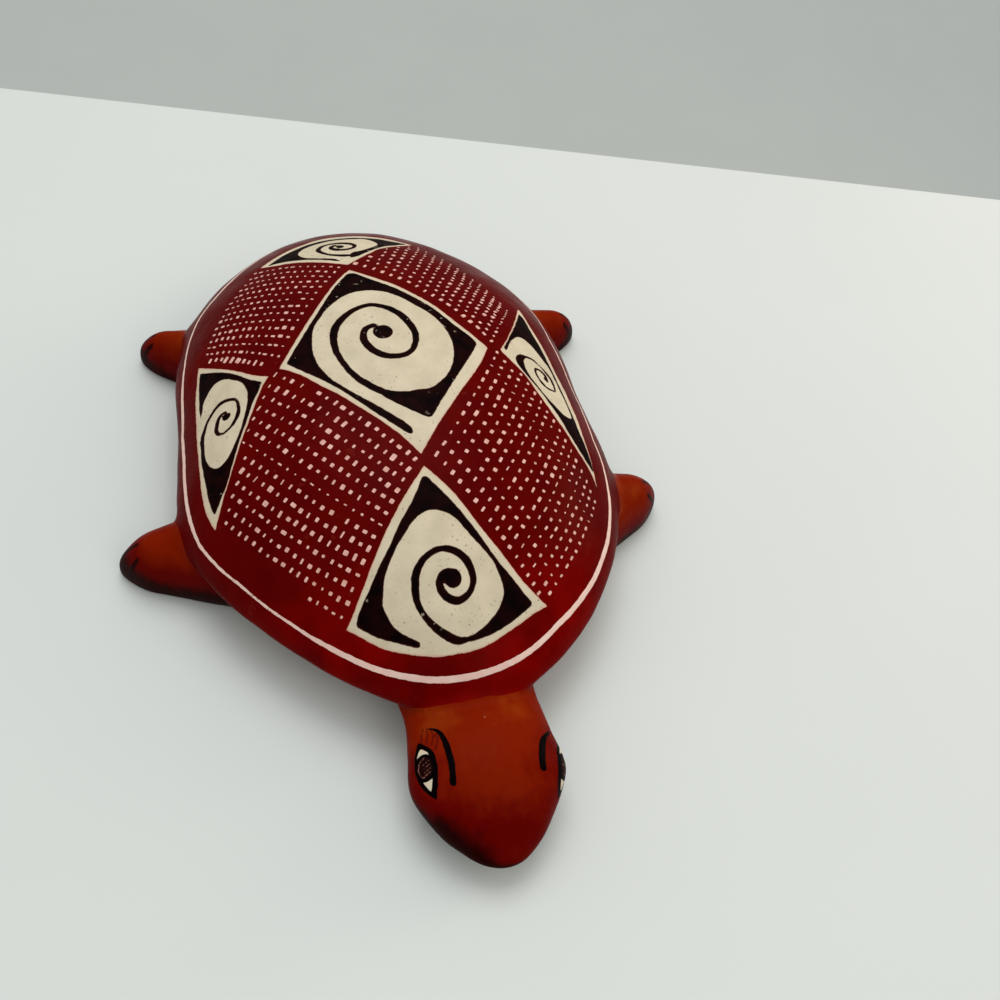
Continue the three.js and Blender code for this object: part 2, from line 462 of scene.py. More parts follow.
# ---------------------------------------------------------------- skin meshes


@dataclass
class Skin:
    """A mesh of quads over the body, with the piece that each quad belongs to."""

    points: np.ndarray
    quads: np.ndarray
    labels: np.ndarray = field(default_factory=lambda: np.zeros(0, int))

    def edges(self) -> tuple[np.ndarray, np.ndarray]:
        """Each edge once, and for each side of each quad which edge it is."""
        sides = np.stack([self.quads, np.roll(self.quads, -1, axis=1)], 2).reshape(-1, 2)
        once, which = np.unique(np.sort(sides, axis=1), axis=0, return_inverse=True)
        return once, which.reshape(-1, 4)

    def relaxed(self, held: np.ndarray) -> np.ndarray:
        """Points drawn halfway to the middle of their neighbours, but for the held ones."""
        edges, _ = self.edges()
        count = len(self.points)
        number = np.bincount(edges.ravel(), minlength=count)
        total = np.stack([
            np.bincount(edges[:, 0], self.points[edges[:, 1], k], count)
            + np.bincount(edges[:, 1], self.points[edges[:, 0], k], count)
            for k in range(3)
        ], 1)
        middle = total / np.maximum(number, 1)[:, None]
        return np.where(held[:, None], self.points, (self.points + middle) / 2)

    def divided(self) -> "Skin":
        """The same skin with every quad cut in four."""
        edges, which = self.edges()
        first = len(self.points)
        centre = first + len(edges) + np.arange(len(self.quads))
        points = np.vstack([self.points, self.points[edges].mean(1), self.points[self.quads].mean(1)])
        side = first + which
        quads = [np.stack([self.quads[:, i], side[:, i], centre, side[:, i - 1]], 1) for i in range(4)]
        return Skin(points, np.vstack(quads), np.tile(self.labels, 4))


def surface_net(field_values: Field, low: tuple[float, ...], high: tuple[float, ...], cell: float) -> Skin:
    """Quads over a field's zero level, one point in each cell that it crosses.

    Args:
        field_values: The field.
        low: Lowest corner of the searched box, in mm.
        high: Highest corner.
        cell: Side of a cell, in mm.

    Returns:
        The skin, closed, its quads facing outwards.
    """
    axes = [np.arange(a, b + cell, cell) for a, b in zip(low, high)]
    grid = np.stack(np.meshgrid(*axes, indexing="ij"), -1)
    shape = grid.shape[:3]
    values = field_values(grid.reshape(-1, 3)).reshape(shape)
    inside = values < 0
    cells = tuple(n - 1 for n in shape)

    def corner(array: np.ndarray, offset: tuple[int, ...]) -> np.ndarray:
        """One corner's value in every cell."""
        return array[tuple(slice(o, o + n) for o, n in zip(offset, cells))]

    offsets = [(i, j, k) for i in (0, 1) for j in (0, 1) for k in (0, 1)]
    filled = sum(corner(inside, o).astype(int) for o in offsets)
    active = np.argwhere((filled > 0) & (filled < 8))
    number = np.full(cells, -1)
    number[tuple(active.T)] = np.arange(len(active))
    total, count = np.zeros((len(active), 3)), np.zeros(len(active))
    for a in offsets:
        for axis in range(3):
            if a[axis]:
                continue
            b = tuple(o + (k == axis) for k, o in enumerate(a))
            va, vb = (values[tuple((active + o).T)] for o in (a, b))
            cut = (va < 0) != (vb < 0)
            t = np.where(cut, va / np.where(cut, va - vb, 1), 0)
            place = np.array(a, float) + t[:, None] * np.eye(3)[axis]
            total += np.where(cut[:, None], place, 0)
            count += cut
    points = np.array(low) + cell * (active + total / count[:, None])
    quads = []
    for axis in range(3):
        b, c = (axis + 1) % 3, (axis + 2) % 3
        near = np.moveaxis(inside, axis, 0)
        edge = np.argwhere(near[1:] != near[:-1])
        place = np.zeros_like(edge)
        place[:, axis] = edge[:, 0]
        place[:, [k for k in range(3) if k != axis]] = edge[:, 1:]
        kept = np.all([(place[:, k] > 0) & (place[:, k] < shape[k] - 1) for k in (b, c)], axis=0)
        place = place[kept]
        ring = []
        for db, dc in ((-1, -1), (0, -1), (0, 0), (-1, 0)):
            at = place.copy()
            at[:, b] += db
            at[:, c] += dc
            ring.append(number[tuple(at.T)])
        ring = np.stack(ring, 1)
        out = inside[tuple(place.T)]
        quads.append(np.where(out[:, None], ring, ring[:, ::-1]))
    return Skin(points, np.vstack(quads))


@dataclass
class Patch:
    """One piece's share of the skin, closed with what lies behind it."""

    name: str
    points: np.ndarray
    faces: list[tuple[int, ...]]
    normals: np.ndarray
    outer_faces: int

    def border(self) -> list[list[int]]:
        """The closed lines where the outer faces end, each in the order of its faces."""
        ahead: dict[int, list[int]] = {}
        seen = {(f[i], f[(i + 1) % len(f)]) for f in self.faces for i in range(len(f))}
        for a, b in sorted(seen):
            if (b, a) not in seen:
                ahead.setdefault(a, []).append(b)
        loops = []
        while ahead:
            loop, at = [], min(ahead)
            while at in ahead:
                loop.append(at)
                following = ahead[at].pop()
                if not ahead[at]:
                    del ahead[at]
                at = following
            loops.append(loop)
        return sorted(loops, key=len, reverse=True)

    def close_with_fan(self, loop: list[int]) -> None:
        """Close one border with a fan of triangles to its middle."""
        middle = self.points[loop].mean(0)
        self.points = np.vstack([self.points, middle])
        tip = len(self.points) - 1
        self.faces += [(b, a, tip) for a, b in zip(loop, loop[1:] + loop[:1])]

    def close_with_hollow(self, loop: list[int], form: ShellForm, upper: bool) -> None:
        """Close the border round the seam with the wall and one half of the hollow.

        Args:
            loop: The border's points, in order.
            form: The body's form.
            upper: Whether this is the domed half.
        """
        turn = np.unwrap(form.polar(self.points[loop])[0])
        way = np.sign(turn[-1] - turn[0])
        # Where the border steps back on itself, the rings still go on by a tenth of an even step,
        # so that no face of the wall or the hollow folds over.
        least = 0.1 * 2 * np.pi / len(loop)
        for step in range(1, len(turn)):
            turn[step] = way * max(way * turn[step], way * turn[step - 1] + least)
        radius = np.interp(turn % (2 * np.pi), *form.rim_table()) - form.wall
        outer = np.array(loop)
        for share, height in form.hollow_levels(upper):
            across, along = radius * share * np.sin(turn), -radius * share * np.cos(turn)
            ring = np.stack([across, along, np.full(len(turn), height)], 1)
            inner = len(self.points) + np.arange(len(loop))
            self.points = np.vstack([self.points, ring])
            following, ahead = np.roll(outer, -1), np.roll(inner, -1)
            self.faces += [tuple(f) for f in np.stack([following, outer, inner, ahead], 1).tolist()]
            outer = inner
        self.points = np.vstack([self.points, [0, 0, form.hollow_top(upper)]])
        tip = len(self.points) - 1
        self.faces += [(b, a, tip) for a, b in zip(outer.tolist(), np.roll(outer, -1).tolist())]


@dataclass
class ClaySkin:
    """Makes the body's skin and cuts it into the frame's pieces."""

    clay: ClayField = field(default_factory=ClayField)
    box: tuple[tuple[float, ...], tuple[float, ...]] = ((-62, -90, -1.7), (62, 66, 33))
    cell: float = 0.9
    border_wander: float = 0.22
    wander_turns: float = 2.3
    snap_rounds: int = 6
    snap_reach: float = 1.5
    flattest: float = 0.02
    finer: tuple[str, ...] = ("head",)

    def names(self) -> list[str]:
        """The pieces, in the order of their labels."""
        return ["carapace", "plastron"] + [limb.name for limb in self.clay.limbs]

    def wander(self, points: np.ndarray) -> np.ndarray:
        """How far the line between shell and limb strays by hand, in mm."""
        return self.border_wander * self.clay.lumps(points * self.wander_turns)

    def label(self, points: np.ndarray) -> np.ndarray:
        """The piece that each point belongs to."""
        parts = np.stack(self.clay.parts(points), 1)
        parts[:, 0] += self.wander(points)
        nearest = parts.argmin(1)
        below = points[:, 2] < self.clay.form.seam_height
        return np.where(nearest > 0, nearest + 1, below.astype(int))

    def border_field(self, index: int) -> Field:
        """The field that is zero on the line where a piece meets those before it."""
        form = self.clay.form
        if index < 2:
            return lambda p: p[:, 2] - form.seam_height
        limb = self.clay.limbs[index - 2]
        return lambda p: form.reach(p) + self.wander(p) - limb.reach_of(form, p)

    def snap(self, skin: Skin) -> np.ndarray:
        """Move the points between two pieces onto the line between these.

        Args:
            skin: The skin, with its labels; its points are changed.

        Returns:
            Which points lie on such a line.
        """
        count = len(skin.points)
        touched = np.zeros((count, len(self.names())), bool)
        for side in range(4):
            touched[skin.quads[:, side], skin.labels] = True
        held = touched.sum(1) > 1
        for _ in range(self.snap_rounds):
            for index in range(1, touched.shape[1]):
                mine = touched[:, index] & touched[:, : min(index, 2)].any(1)
                if not mine.any():
                    continue
                at = skin.points[mine]
                line = self.border_field(index)
                across, normal = slope_of(line, at), self.clay.normal(at)
                across -= (across * normal).sum(1, keepdims=True) * normal
                squared = np.maximum((across**2).sum(1), self.flattest)
                steps = np.clip(line(at) / squared, -self.snap_reach, self.snap_reach)
                move = steps[:, None] * across
                # No point goes further than half a cell at once.
                far = np.maximum(np.linalg.norm(move, axis=1) / (0.5 * self.cell), 1)
                skin.points[mine] = at - move / far[:, None]
            skin.points[held] = self.clay.settle(skin.points[held], 1)
        return held

    def build(self) -> list[Patch]:
        """The pieces of the skin, closed.

        Returns:
            One patch for each piece.
        """
        skin = surface_net(self.clay, *self.box, self.cell)
        nobody = np.zeros(len(skin.points), bool)
        for _ in range(2):
            skin.points = self.clay.settle(skin.relaxed(nobody), 2)
        skin.labels = self.label(skin.points[skin.quads].mean(1))
        self.tidy_labels(skin)
        held = self.snap(skin)
        for _ in range(2):
            skin.points = self.clay.settle(skin.relaxed(held), 1)
        skin = skin.divided()
        skin.points = self.clay.settle(skin.points, 3)
        self.snap(skin)
        normals = self.clay.normal(skin.points)
        log.info("skin: %d points, %d quads", len(skin.points), len(skin.quads))
        return [self.patch(skin, normals, index, name) for index, name in enumerate(self.names())]

    def refined(self, skin: Skin, index: int) -> tuple[Skin, np.ndarray]:
        """One piece's own skin, every quad cut in four again, and its normals."""
        quads = skin.quads[skin.labels == index]
        used, again = np.unique(quads, return_inverse=True)
        finer = Skin(skin.points[used], again.reshape(-1, 4), np.full(len(quads), index)).divided()
        finer.points = self.clay.settle(finer.points, 2)
        return finer, self.clay.normal(finer.points)

    def tidy_labels(self, skin: Skin) -> None:
        """Give a quad that stands nearly alone among another piece's quads to that piece."""
        for _ in range(4):
            _, which = skin.edges()
            flat = which.ravel()
            order = np.argsort(flat, kind="stable")
            owner = np.repeat(np.arange(len(skin.quads)), 4)[order]
            a, b = owner[0::2], owner[1::2]
            other = np.zeros((len(skin.quads), len(self.names())), int)
            np.add.at(other, (a, skin.labels[b]), 1)
            np.add.at(other, (b, skin.labels[a]), 1)
            own = other[np.arange(len(skin.quads)), skin.labels]
            skin.labels = np.where((other.max(1) >= 3) | (own < 2), other.argmax(1), skin.labels)

    def patch(self, skin: Skin, normals: np.ndarray, index: int, name: str) -> Patch:
        """One piece of the skin, closed behind.

        Args:
            skin: The whole skin.
            normals: The skin's normals.
            index: The piece's label.
            name: The piece's name.

        Returns:
            The closed patch.
        """
        if name in self.finer:
            skin, normals = self.refined(skin, index)
        quads = skin.quads[skin.labels == index]
        used, again = np.unique(quads, return_inverse=True)
        faces = [tuple(f) for f in again.reshape(-1, 4).tolist()]
        patch = Patch(name, skin.points[used], faces, normals[used], len(faces))
        for number, loop in enumerate(patch.border()):
            if index < 2 and number == 0:
                patch.close_with_hollow(loop, self.clay.form, index == 0)
            else:
                patch.close_with_fan(loop)
            log.info("%s: border %d of %d points", name, number, len(loop))
        return patch


def mesh_object(
    patch: Patch, marks: dict[str, np.ndarray], material: bpy.types.Material
) -> bpy.types.Object:
    """A Blender object from a patch, in metres, in the frame.

    Args:
        patch: The patch.
        marks: Named numbers for the patch's outer points, in mm.
        material: The material of the whole piece.

    Returns:
        The new object.
    """
    mesh = bpy.data.meshes.new(patch.name + "_clay")
    mesh.from_pydata(((patch.points + SHELL_MIDDLE) * MM).tolist(), [], patch.faces)
    mesh.polygons.foreach_set("use_smooth", np.ones(len(mesh.polygons), bool))
    for name, values in marks.items():
        whole = np.full(len(patch.points), UNPAINTED, np.float32)
        whole[: len(values)] = np.clip(values, UNPAINTED, -UNPAINTED)
        mesh.attributes.new(name, "FLOAT", "POINT").data.foreach_set("value", whole)
    mesh.materials.append(material)
    corners = np.zeros(len(mesh.loops), int)
    mesh.loops.foreach_get("vertex_index", corners)
    flat = np.zeros(len(mesh.polygons) * 3)
    mesh.polygons.foreach_get("normal", flat)
    sizes = np.zeros(len(mesh.polygons), int)
    mesh.polygons.foreach_get("loop_total", sizes)
    turned = np.repeat(flat.reshape(-1, 3), sizes, axis=0)
    outer = int(sizes[: patch.outer_faces].sum())
    turned[:outer] = patch.normals[corners[:outer]]
    mesh.normals_split_custom_set(turned)
    made = bpy.data.objects.new(patch.name + "_clay", mesh)
    bpy.context.scene.collection.objects.link(made)
    return made


# ---------------------------------------------------------------- painted ornament


@dataclass(frozen=True)
class SpiralPanel:
    """A cream panel with a black frame round a cream field, and a black spiral ending in a dot."""

    name: str
    cream: Outline
    cream_corners: tuple[int, ...]
    black: Outline
    black_corners: tuple[int, ...]
    spiral: Outline
    half_stroke: float
    dot: tuple[float, float]
    dot_radius: float
    margin: float = 4.0
    stroke_swell: float = 0.16
    swells: float = 23.0
    start_thin: float = 0.3
    start_run: float = 30.0

    def near(self, plan: np.ndarray) -> np.ndarray:
        """Which points of the plan lie in or close to the panel."""
        p = np.array(self.cream)
        return np.all((plan > p.min(0) - self.margin) & (plan < p.max(0) + self.margin), axis=1)

    def cream_distance(self, plan: np.ndarray) -> np.ndarray:
        """Distance into the cream panel, below zero outside."""
        return area_distance(plan, drawn_curve(self.cream, True, self.cream_corners))

    def black_distance(self, plan: np.ndarray) -> np.ndarray:
        """Distance into the black frame, spiral and dot, below zero outside."""
        corners = area_distance(plan, drawn_curve(self.black, True, self.black_corners))
        gap, place = line_distance(plan, drawn_curve(self.spiral, False), False)
        thin = self.start_thin * np.exp(-place * self.start_run)
        half = self.half_stroke * (1 + self.stroke_swell * np.sin(self.swells * place) - thin)
        dot = self.dot_radius - np.hypot(*(plan - np.array(self.dot)).T)
        return np.maximum(np.maximum(corners, half - gap), dot)


PANELS = (
    SpiralPanel(
        "back of the dome",
        ((-20.0, 40.2), (-17.7, 42.1), (-14.3, 44.7), (-10.9, 46.4), (-7.5, 47.7), (-4.2, 48.2),
         (-1.0, 47.8), (2.2, 47.4), (5.4, 46.7), (8.5, 45.5), (12.7, 42.5), (9.7, 41.0), (4.9, 38.7),
         (2.5, 36.7), (-2.9, 32.1), (-5.3, 33.4), (-8.2, 34.9), (-11.1, 36.3), (-14.0, 37.6),
         (-17.0, 38.6)),
        (0, 10, 14),
        ((-4.0, 33.9), (-6.1, 35.0), (-9.0, 36.5), (-11.9, 37.8), (-14.9, 39.0), (-18.6, 39.8),
         (-16.7, 41.3), (-14.4, 43.3), (-11.7, 44.7), (-8.7, 46.1), (-5.5, 46.6), (-2.2, 46.5),
         (1.0, 46.2), (5.8, 45.3), (8.2, 44.2), (11.7, 42.7), (8.7, 41.1), (6.3, 40.2), (3.9, 38.7),
         (1.4, 36.8), (-0.5, 35.4), (-2.0, 35.2), (-1.2, 37.5), (1.1, 38.4), (3.2, 39.6), (4.8, 41.0),
         (4.8, 42.3), (3.8, 44.0), (2.3, 45.0), (-0.3, 45.2), (-3.5, 45.5), (-5.6, 45.3), (-8.5, 44.6),
         (-10.6, 43.4), (-11.7, 41.9), (-11.8, 40.5), (-11.1, 38.9), (-9.5, 37.5), (-6.9, 36.3),
         (-5.0, 35.4)),
        (5, 15, 21),
        ((-1.0, 36.2), (-3.8, 36.7), (-6.1, 38.0), (-7.5, 39.9), (-7.6, 41.4), (-6.6, 42.8),
         (-4.9, 43.3), (-2.8, 43.1), (-0.8, 42.4), (0.0, 41.1), (-0.8, 39.8), (-2.5, 39.4),
         (-4.1, 39.8), (-5.0, 40.9), (-4.8, 41.7), (-4.0, 42.1)),
        0.5, (-3.1, 41.2), 0.85,
    ),
    SpiralPanel(
        "middle of the dome",
        ((-3.0, 30.0), (0.7, 27.0), (5.9, 22.5), (10.9, 17.1), (15.4, 10.5), (19.7, 4.7), (16.6, -0.4),
         (11.3, -7.1), (6.2, -13.4), (1.4, -19.8), (-1.2, -15.6), (-4.4, -11.6), (-7.4, -8.1),
         (-10.5, -4.6), (-13.6, -1.3), (-16.7, 2.4), (-20.2, 5.4), (-15.3, 12.6), (-10.3, 20.3),
         (-5.8, 26.9)),
        (0, 5, 9, 16),
        ((0.7, -15.4), (0.0, -15.3), (-1.4, -13.8), (-4.4, -10.5), (-7.4, -6.8), (-10.3, -3.3),
         (-13.4, 0.2), (-16.6, 3.5), (-18.8, 6.0), (-15.0, 11.6), (-11.1, 17.7), (-7.0, 24.3),
         (-3.9, 28.3), (-3.0, 28.8), (-1.9, 28.4), (0.2, 26.3), (5.7, 21.5), (10.6, 16.1), (14.4, 10.4),
         (16.7, 7.5), (17.7, 5.6), (16.3, 3.2), (13.3, -0.9), (10.0, -5.4), (7.0, -9.4), (5.2, -11.9),
         (4.5, -12.3), (3.7, -12.0), (1.8, -10.6), (-0.3, -8.9), (-2.2, -7.2), (-3.3, -5.6),
         (-2.3, -4.9), (-0.6, -5.6), (1.8, -6.0), (4.0, -5.8), (6.3, -5.6), (8.8, -3.8), (10.6, -1.6),
         (11.8, 0.9), (12.6, 4.0), (12.6, 7.0), (11.8, 10.4), (10.1, 13.6), (7.7, 16.5), (5.2, 19.2),
         (2.6, 21.1), (-0.2, 22.0), (-3.2, 22.0), (-6.3, 20.7), (-9.1, 18.3), (-11.0, 15.8),
         (-12.5, 13.3), (-13.3, 10.2), (-13.6, 7.1), (-13.2, 3.9), (-12.1, 1.0), (-10.7, -1.4),
         (-8.5, -4.0), (-6.1, -6.5), (-3.7, -9.0), (-1.4, -11.4), (0.1, -13.0), (0.9, -14.5)),
        (8, 13, 20, 26),
        ((0.0, -7.4), (-2.9, -5.3), (-5.6, -2.7), (-7.5, 0.0), (-8.8, 3.4), (-9.5, 6.6), (-9.3, 10.1),
         (-8.2, 12.9), (-6.3, 15.1), (-3.9, 16.7), (-1.0, 17.4), (1.7, 16.4), (3.9, 14.3), (5.3, 11.5),
         (6.0, 8.6), (5.7, 6.2), (4.5, 3.9), (2.6, 2.8), (0.1, 2.9), (-1.9, 4.0), (-3.4, 6.1),
         (-3.9, 8.6), (-3.0, 10.8), (-1.3, 11.5)),
        0.68, (0.0, 9.4), 1.9,
    ),
    SpiralPanel(
        "front of the dome",
        ((1.4, -22.2), (3.7, -25.1), (6.4, -29.4), (8.9, -34.3), (11.6, -38.9), (14.3, -43.3),
         (16.6, -46.0), (18.5, -47.8), (16.0, -48.9), (12.8, -50.5), (8.9, -52.3), (5.1, -53.5),
         (1.6, -53.7), (-1.8, -53.5), (-5.1, -52.7), (-8.2, -51.5), (-11.3, -49.9), (-16.3, -45.7),
         (-15.1, -44.4), (-12.8, -41.1), (-10.5, -37.5), (-8.2, -34.0), (-5.4, -30.2), (-2.2, -26.3)),
        (0, 7, 17),
        ((-4.8, -51.2), (-5.2, -51.6), (-8.0, -50.3), (-11.1, -48.7), (-13.3, -47.0), (-14.6, -45.8),
         (-14.0, -44.3), (-11.4, -40.9), (-9.2, -37.9), (-7.0, -35.1), (-4.6, -31.7), (-2.4, -29.0),
         (-0.9, -26.9), (0.4, -24.6), (1.4, -24.2), (2.2, -25.3), (4.7, -29.0), (6.7, -32.4),
         (8.6, -35.9), (10.5, -39.8), (12.6, -42.9), (14.7, -46.0), (15.7, -47.2), (15.6, -47.8),
         (14.1, -48.7), (11.0, -50.4), (8.1, -51.5), (5.3, -52.1), (2.5, -52.3), (2.3, -51.6),
         (3.7, -51.5), (5.6, -50.8), (7.6, -49.6), (9.3, -48.2), (10.5, -46.4), (10.9, -44.9),
         (10.7, -43.1), (10.1, -40.8), (8.9, -38.7), (7.5, -36.7), (6.2, -34.6), (4.8, -32.5),
         (3.6, -31.5), (2.0, -30.7), (0.4, -30.6), (-1.1, -31.1), (-2.6, -32.1), (-4.1, -33.7),
         (-5.7, -35.4), (-7.0, -37.1), (-8.2, -39.0), (-9.0, -40.8), (-9.5, -42.6), (-9.8, -44.1),
         (-9.4, -45.7), (-8.7, -47.4), (-7.4, -48.9), (-5.9, -50.1), (-4.9, -50.8)),
        (5, 23),
        ((2.9, -51.9), (1.9, -51.9), (0.6, -51.4), (-1.2, -50.0), (-2.6, -48.4), (-3.8, -46.3),
         (-4.2, -44.4), (-4.0, -42.4), (-3.6, -40.7), (-2.4, -39.1), (-0.8, -37.9), (1.2, -37.4),
         (2.9, -37.7), (4.3, -38.6), (5.4, -40.0), (5.9, -41.9), (5.8, -43.5), (4.9, -45.0),
         (3.5, -45.9), (2.3, -46.0), (0.9, -45.2), (0.1, -43.8), (0.2, -42.4), (0.9, -41.5),
         (2.0, -41.2)),
        0.62, (2.4, -42.4), 1.6,
    ),
    SpiralPanel(
        "right flank",
        ((-34.9, 15.8), (-32.7, 13.6), (-29.9, 11.0), (-27.3, 8.5), (-24.7, 6.1), (-22.3, 4.5),
         (-23.5, 3.0), (-24.3, 1.6), (-25.7, -1.3), (-27.4, -4.8), (-29.2, -8.5), (-30.5, -11.5),
         (-31.9, -14.5), (-33.2, -17.1), (-35.5, -22.0), (-36.2, -19.9), (-36.8, -17.3), (-37.0, -14.1),
         (-37.0, -10.8), (-36.9, -6.6), (-36.8, -1.1), (-36.5, 3.9), (-36.2, 8.7), (-35.6, 12.0)),
        (0, 5, 14),
        ((-35.6, 3.0), (-35.7, 5.6), (-35.4, 9.2), (-35.1, 12.3), (-34.7, 14.1), (-33.4, 13.1),
         (-30.9, 11.0), (-28.2, 8.5), (-25.7, 5.7), (-23.6, 3.8), (-24.4, 2.2), (-26.0, -0.6),
         (-27.5, -4.0), (-29.1, -7.4), (-30.6, -11.0), (-31.9, -14.1), (-33.3, -16.6), (-35.2, -19.4),
         (-35.7, -18.0), (-36.0, -15.3), (-36.2, -12.0), (-36.4, -7.9), (-36.3, -4.2), (-36.2, -1.9),
         (-35.4, -2.0), (-35.6, -4.9), (-35.5, -7.4), (-35.0, -9.4), (-34.1, -10.6), (-33.2, -10.9),
         (-32.2, -10.4), (-31.0, -9.2), (-29.7, -7.0), (-28.5, -4.6), (-27.5, -1.8), (-26.7, 1.0),
         (-26.6, 3.5), (-27.2, 5.7), (-28.6, 7.2), (-30.0, 8.5), (-31.5, 9.0), (-32.8, 8.6),
         (-33.9, 7.5), (-34.8, 6.0), (-35.3, 3.9)),
        (4, 9, 17),
        ((-36.0, -3.5), (-35.6, -1.3), (-34.6, 0.9), (-33.4, 2.4), (-31.9, 3.4), (-30.4, 3.4),
         (-28.9, 2.6), (-28.5, 1.2), (-28.7, -1.0), (-29.6, -2.6), (-30.9, -3.7), (-32.3, -3.8),
         (-33.0, -2.6), (-32.7, -0.8), (-32.0, 0.6), (-31.0, 0.8)),
        0.36, (-30.9, -0.3), 0.85,
    ),
    SpiralPanel(
        "left flank",
        ((30.8, 20.7), (31.2, 19.4), (32.0, 15.2), (33.1, 11.0), (33.8, 7.2), (34.3, 3.4), (35.0, -0.3),
         (35.3, -4.9), (35.4, -9.6), (35.2, -14.3), (35.2, -18.5), (34.8, -24.7), (34.2, -22.1),
         (33.3, -19.8), (32.1, -17.2), (30.9, -13.9), (29.6, -10.9), (28.4, -7.7), (27.2, -4.4),
         (26.0, -1.0), (22.3, 4.8), (24.3, 7.6), (26.8, 11.9), (29.2, 16.8)),
        (0, 11, 20),
        ((30.3, 18.4), (31.0, 17.3), (31.7, 13.2), (32.6, 9.4), (33.2, 5.5), (33.8, 1.5), (34.2, -3.0),
         (34.4, -7.0), (34.5, -10.7), (34.7, -13.9), (35.0, -17.3), (35.1, -21.5), (34.7, -21.6),
         (33.6, -19.3), (32.4, -16.3), (31.5, -13.7), (30.8, -11.2), (29.6, -8.2), (28.5, -5.2),
         (27.2, -2.5), (25.9, -0.1), (25.3, 1.6), (25.2, 3.1), (25.8, 4.2), (26.7, 4.8), (27.8, 4.8),
         (29.0, 4.4), (28.2, 4.2), (27.4, 3.8), (26.9, 2.8), (26.8, 1.1), (27.1, -0.7), (27.8, -2.5),
         (28.8, -4.6), (29.8, -6.6), (31.0, -8.3), (32.0, -9.5), (33.1, -9.8), (33.8, -9.4),
         (33.9, -7.0), (33.7, -3.0), (33.3, 1.0), (32.8, 3.7), (32.1, 5.0), (31.2, 6.8), (30.0, 8.8),
         (28.6, 9.9), (27.2, 9.6), (25.6, 8.0), (23.7, 4.9), (23.3, 5.6), (25.4, 9.0), (27.7, 13.0)),
        (0, 11, 12, 26, 49, 50),
        ((26.7, 4.6), (29.0, 4.3), (30.2, 3.3), (31.3, 2.1), (32.2, 0.7), (32.4, -1.1), (32.2, -2.9),
         (31.2, -3.1), (30.3, -2.8), (29.6, -1.9), (29.1, -0.6), (28.9, 0.8), (29.3, 1.8), (30.1, 1.7),
         (30.9, 1.0), (31.2, 0.0), (31.1, -0.9)),
        0.29, (30.8, -0.3), 0.42,
    ),
)


@dataclass(frozen=True)
class RingLine:
    """The pale line round the foot of the dome: angle, share of the rim's radius, half width in mm."""

    course: tuple[tuple[float, float, float], ...] = (
        (0, 0.948, 0.62), (15, 0.942, 0.55), (22, 0.938, 0.55), (35, 0.954, 0.6), (45, 0.957, 0.62),
        (55, 0.946, 0.52), (63, 0.932, 0.36), (72, 0.92, 0.3), (85, 0.946, 0.3), (95, 0.949, 0.3),
        (104, 0.936, 0.3), (112, 0.918, 0.3), (120, 0.928, 0.28), (130, 0.94, 0.28), (160, 0.95, 0.42),
        (190, 0.95, 0.58), (212, 0.925, 0.58), (219, 0.928, 0.48), (226, 0.943, 0.34), (242, 0.947, 0.3),
        (253, 0.963, 0.5), (266, 0.973, 0.55), (275, 0.96, 0.55), (284, 0.952, 0.55), (293, 0.954, 0.52),
        (300, 0.959, 0.38), (308, 0.954, 0.3), (314, 0.95, 0.25), (322, 0.953, 0.25), (328, 0.953, 0.27),
        (333, 0.953, 0.36), (338, 0.952, 0.5), (347, 0.952, 0.6),
    )
    steepest: float = 0.3

    def distance(self, form: ShellForm, points: np.ndarray, normals: np.ndarray) -> np.ndarray:
        """Distance into the line, measured over the dome, below zero outside it."""
        angle, share, radius = form.polar(points)
        turns = np.degrees(angle)
        course = np.array(self.course)
        middle = np.interp(turns, course[:, 0], course[:, 1], period=360)
        half = np.interp(turns, course[:, 0], course[:, 2], period=360)
        away = np.abs(share - middle) * radius / np.maximum(normals[:, 2], self.steepest)
        return np.where(normals[:, 2] > FACES_UP, half - away, UNPAINTED)


@dataclass(frozen=True)
class Paintwork:
    """Everything painted on the dome, as distances that the slips read."""

    form: ShellForm = ShellForm()
    panels: tuple[SpiralPanel, ...] = PANELS
    ring: RingLine = RingLine()

    def marks(self, points: np.ndarray, normals: np.ndarray) -> dict[str, np.ndarray]:
        """Distances into each slip at each point of the carapace.

        Args:
            points: The outer points, in mm.
            normals: Their normals.

        Returns:
            The distances by name, below zero outside the slip.
        """
        cream, black = np.full(len(points), UNPAINTED), np.full(len(points), UNPAINTED)
        upper = normals[:, 2] > FACES_UP
        for panel in self.panels:
            near = panel.near(points[:, :2]) & upper
            plan = points[near, :2]
            cream[near] = np.maximum(cream[near], panel.cream_distance(plan))
            black[near] = np.maximum(black[near], panel.black_distance(plan))
            log.info("panel %s: %d points", panel.name, int(near.sum()))
        ring = self.ring.distance(self.form, points, normals)
        return {"cream_slip": cream, "black_paint": black, "ring_line": ring}


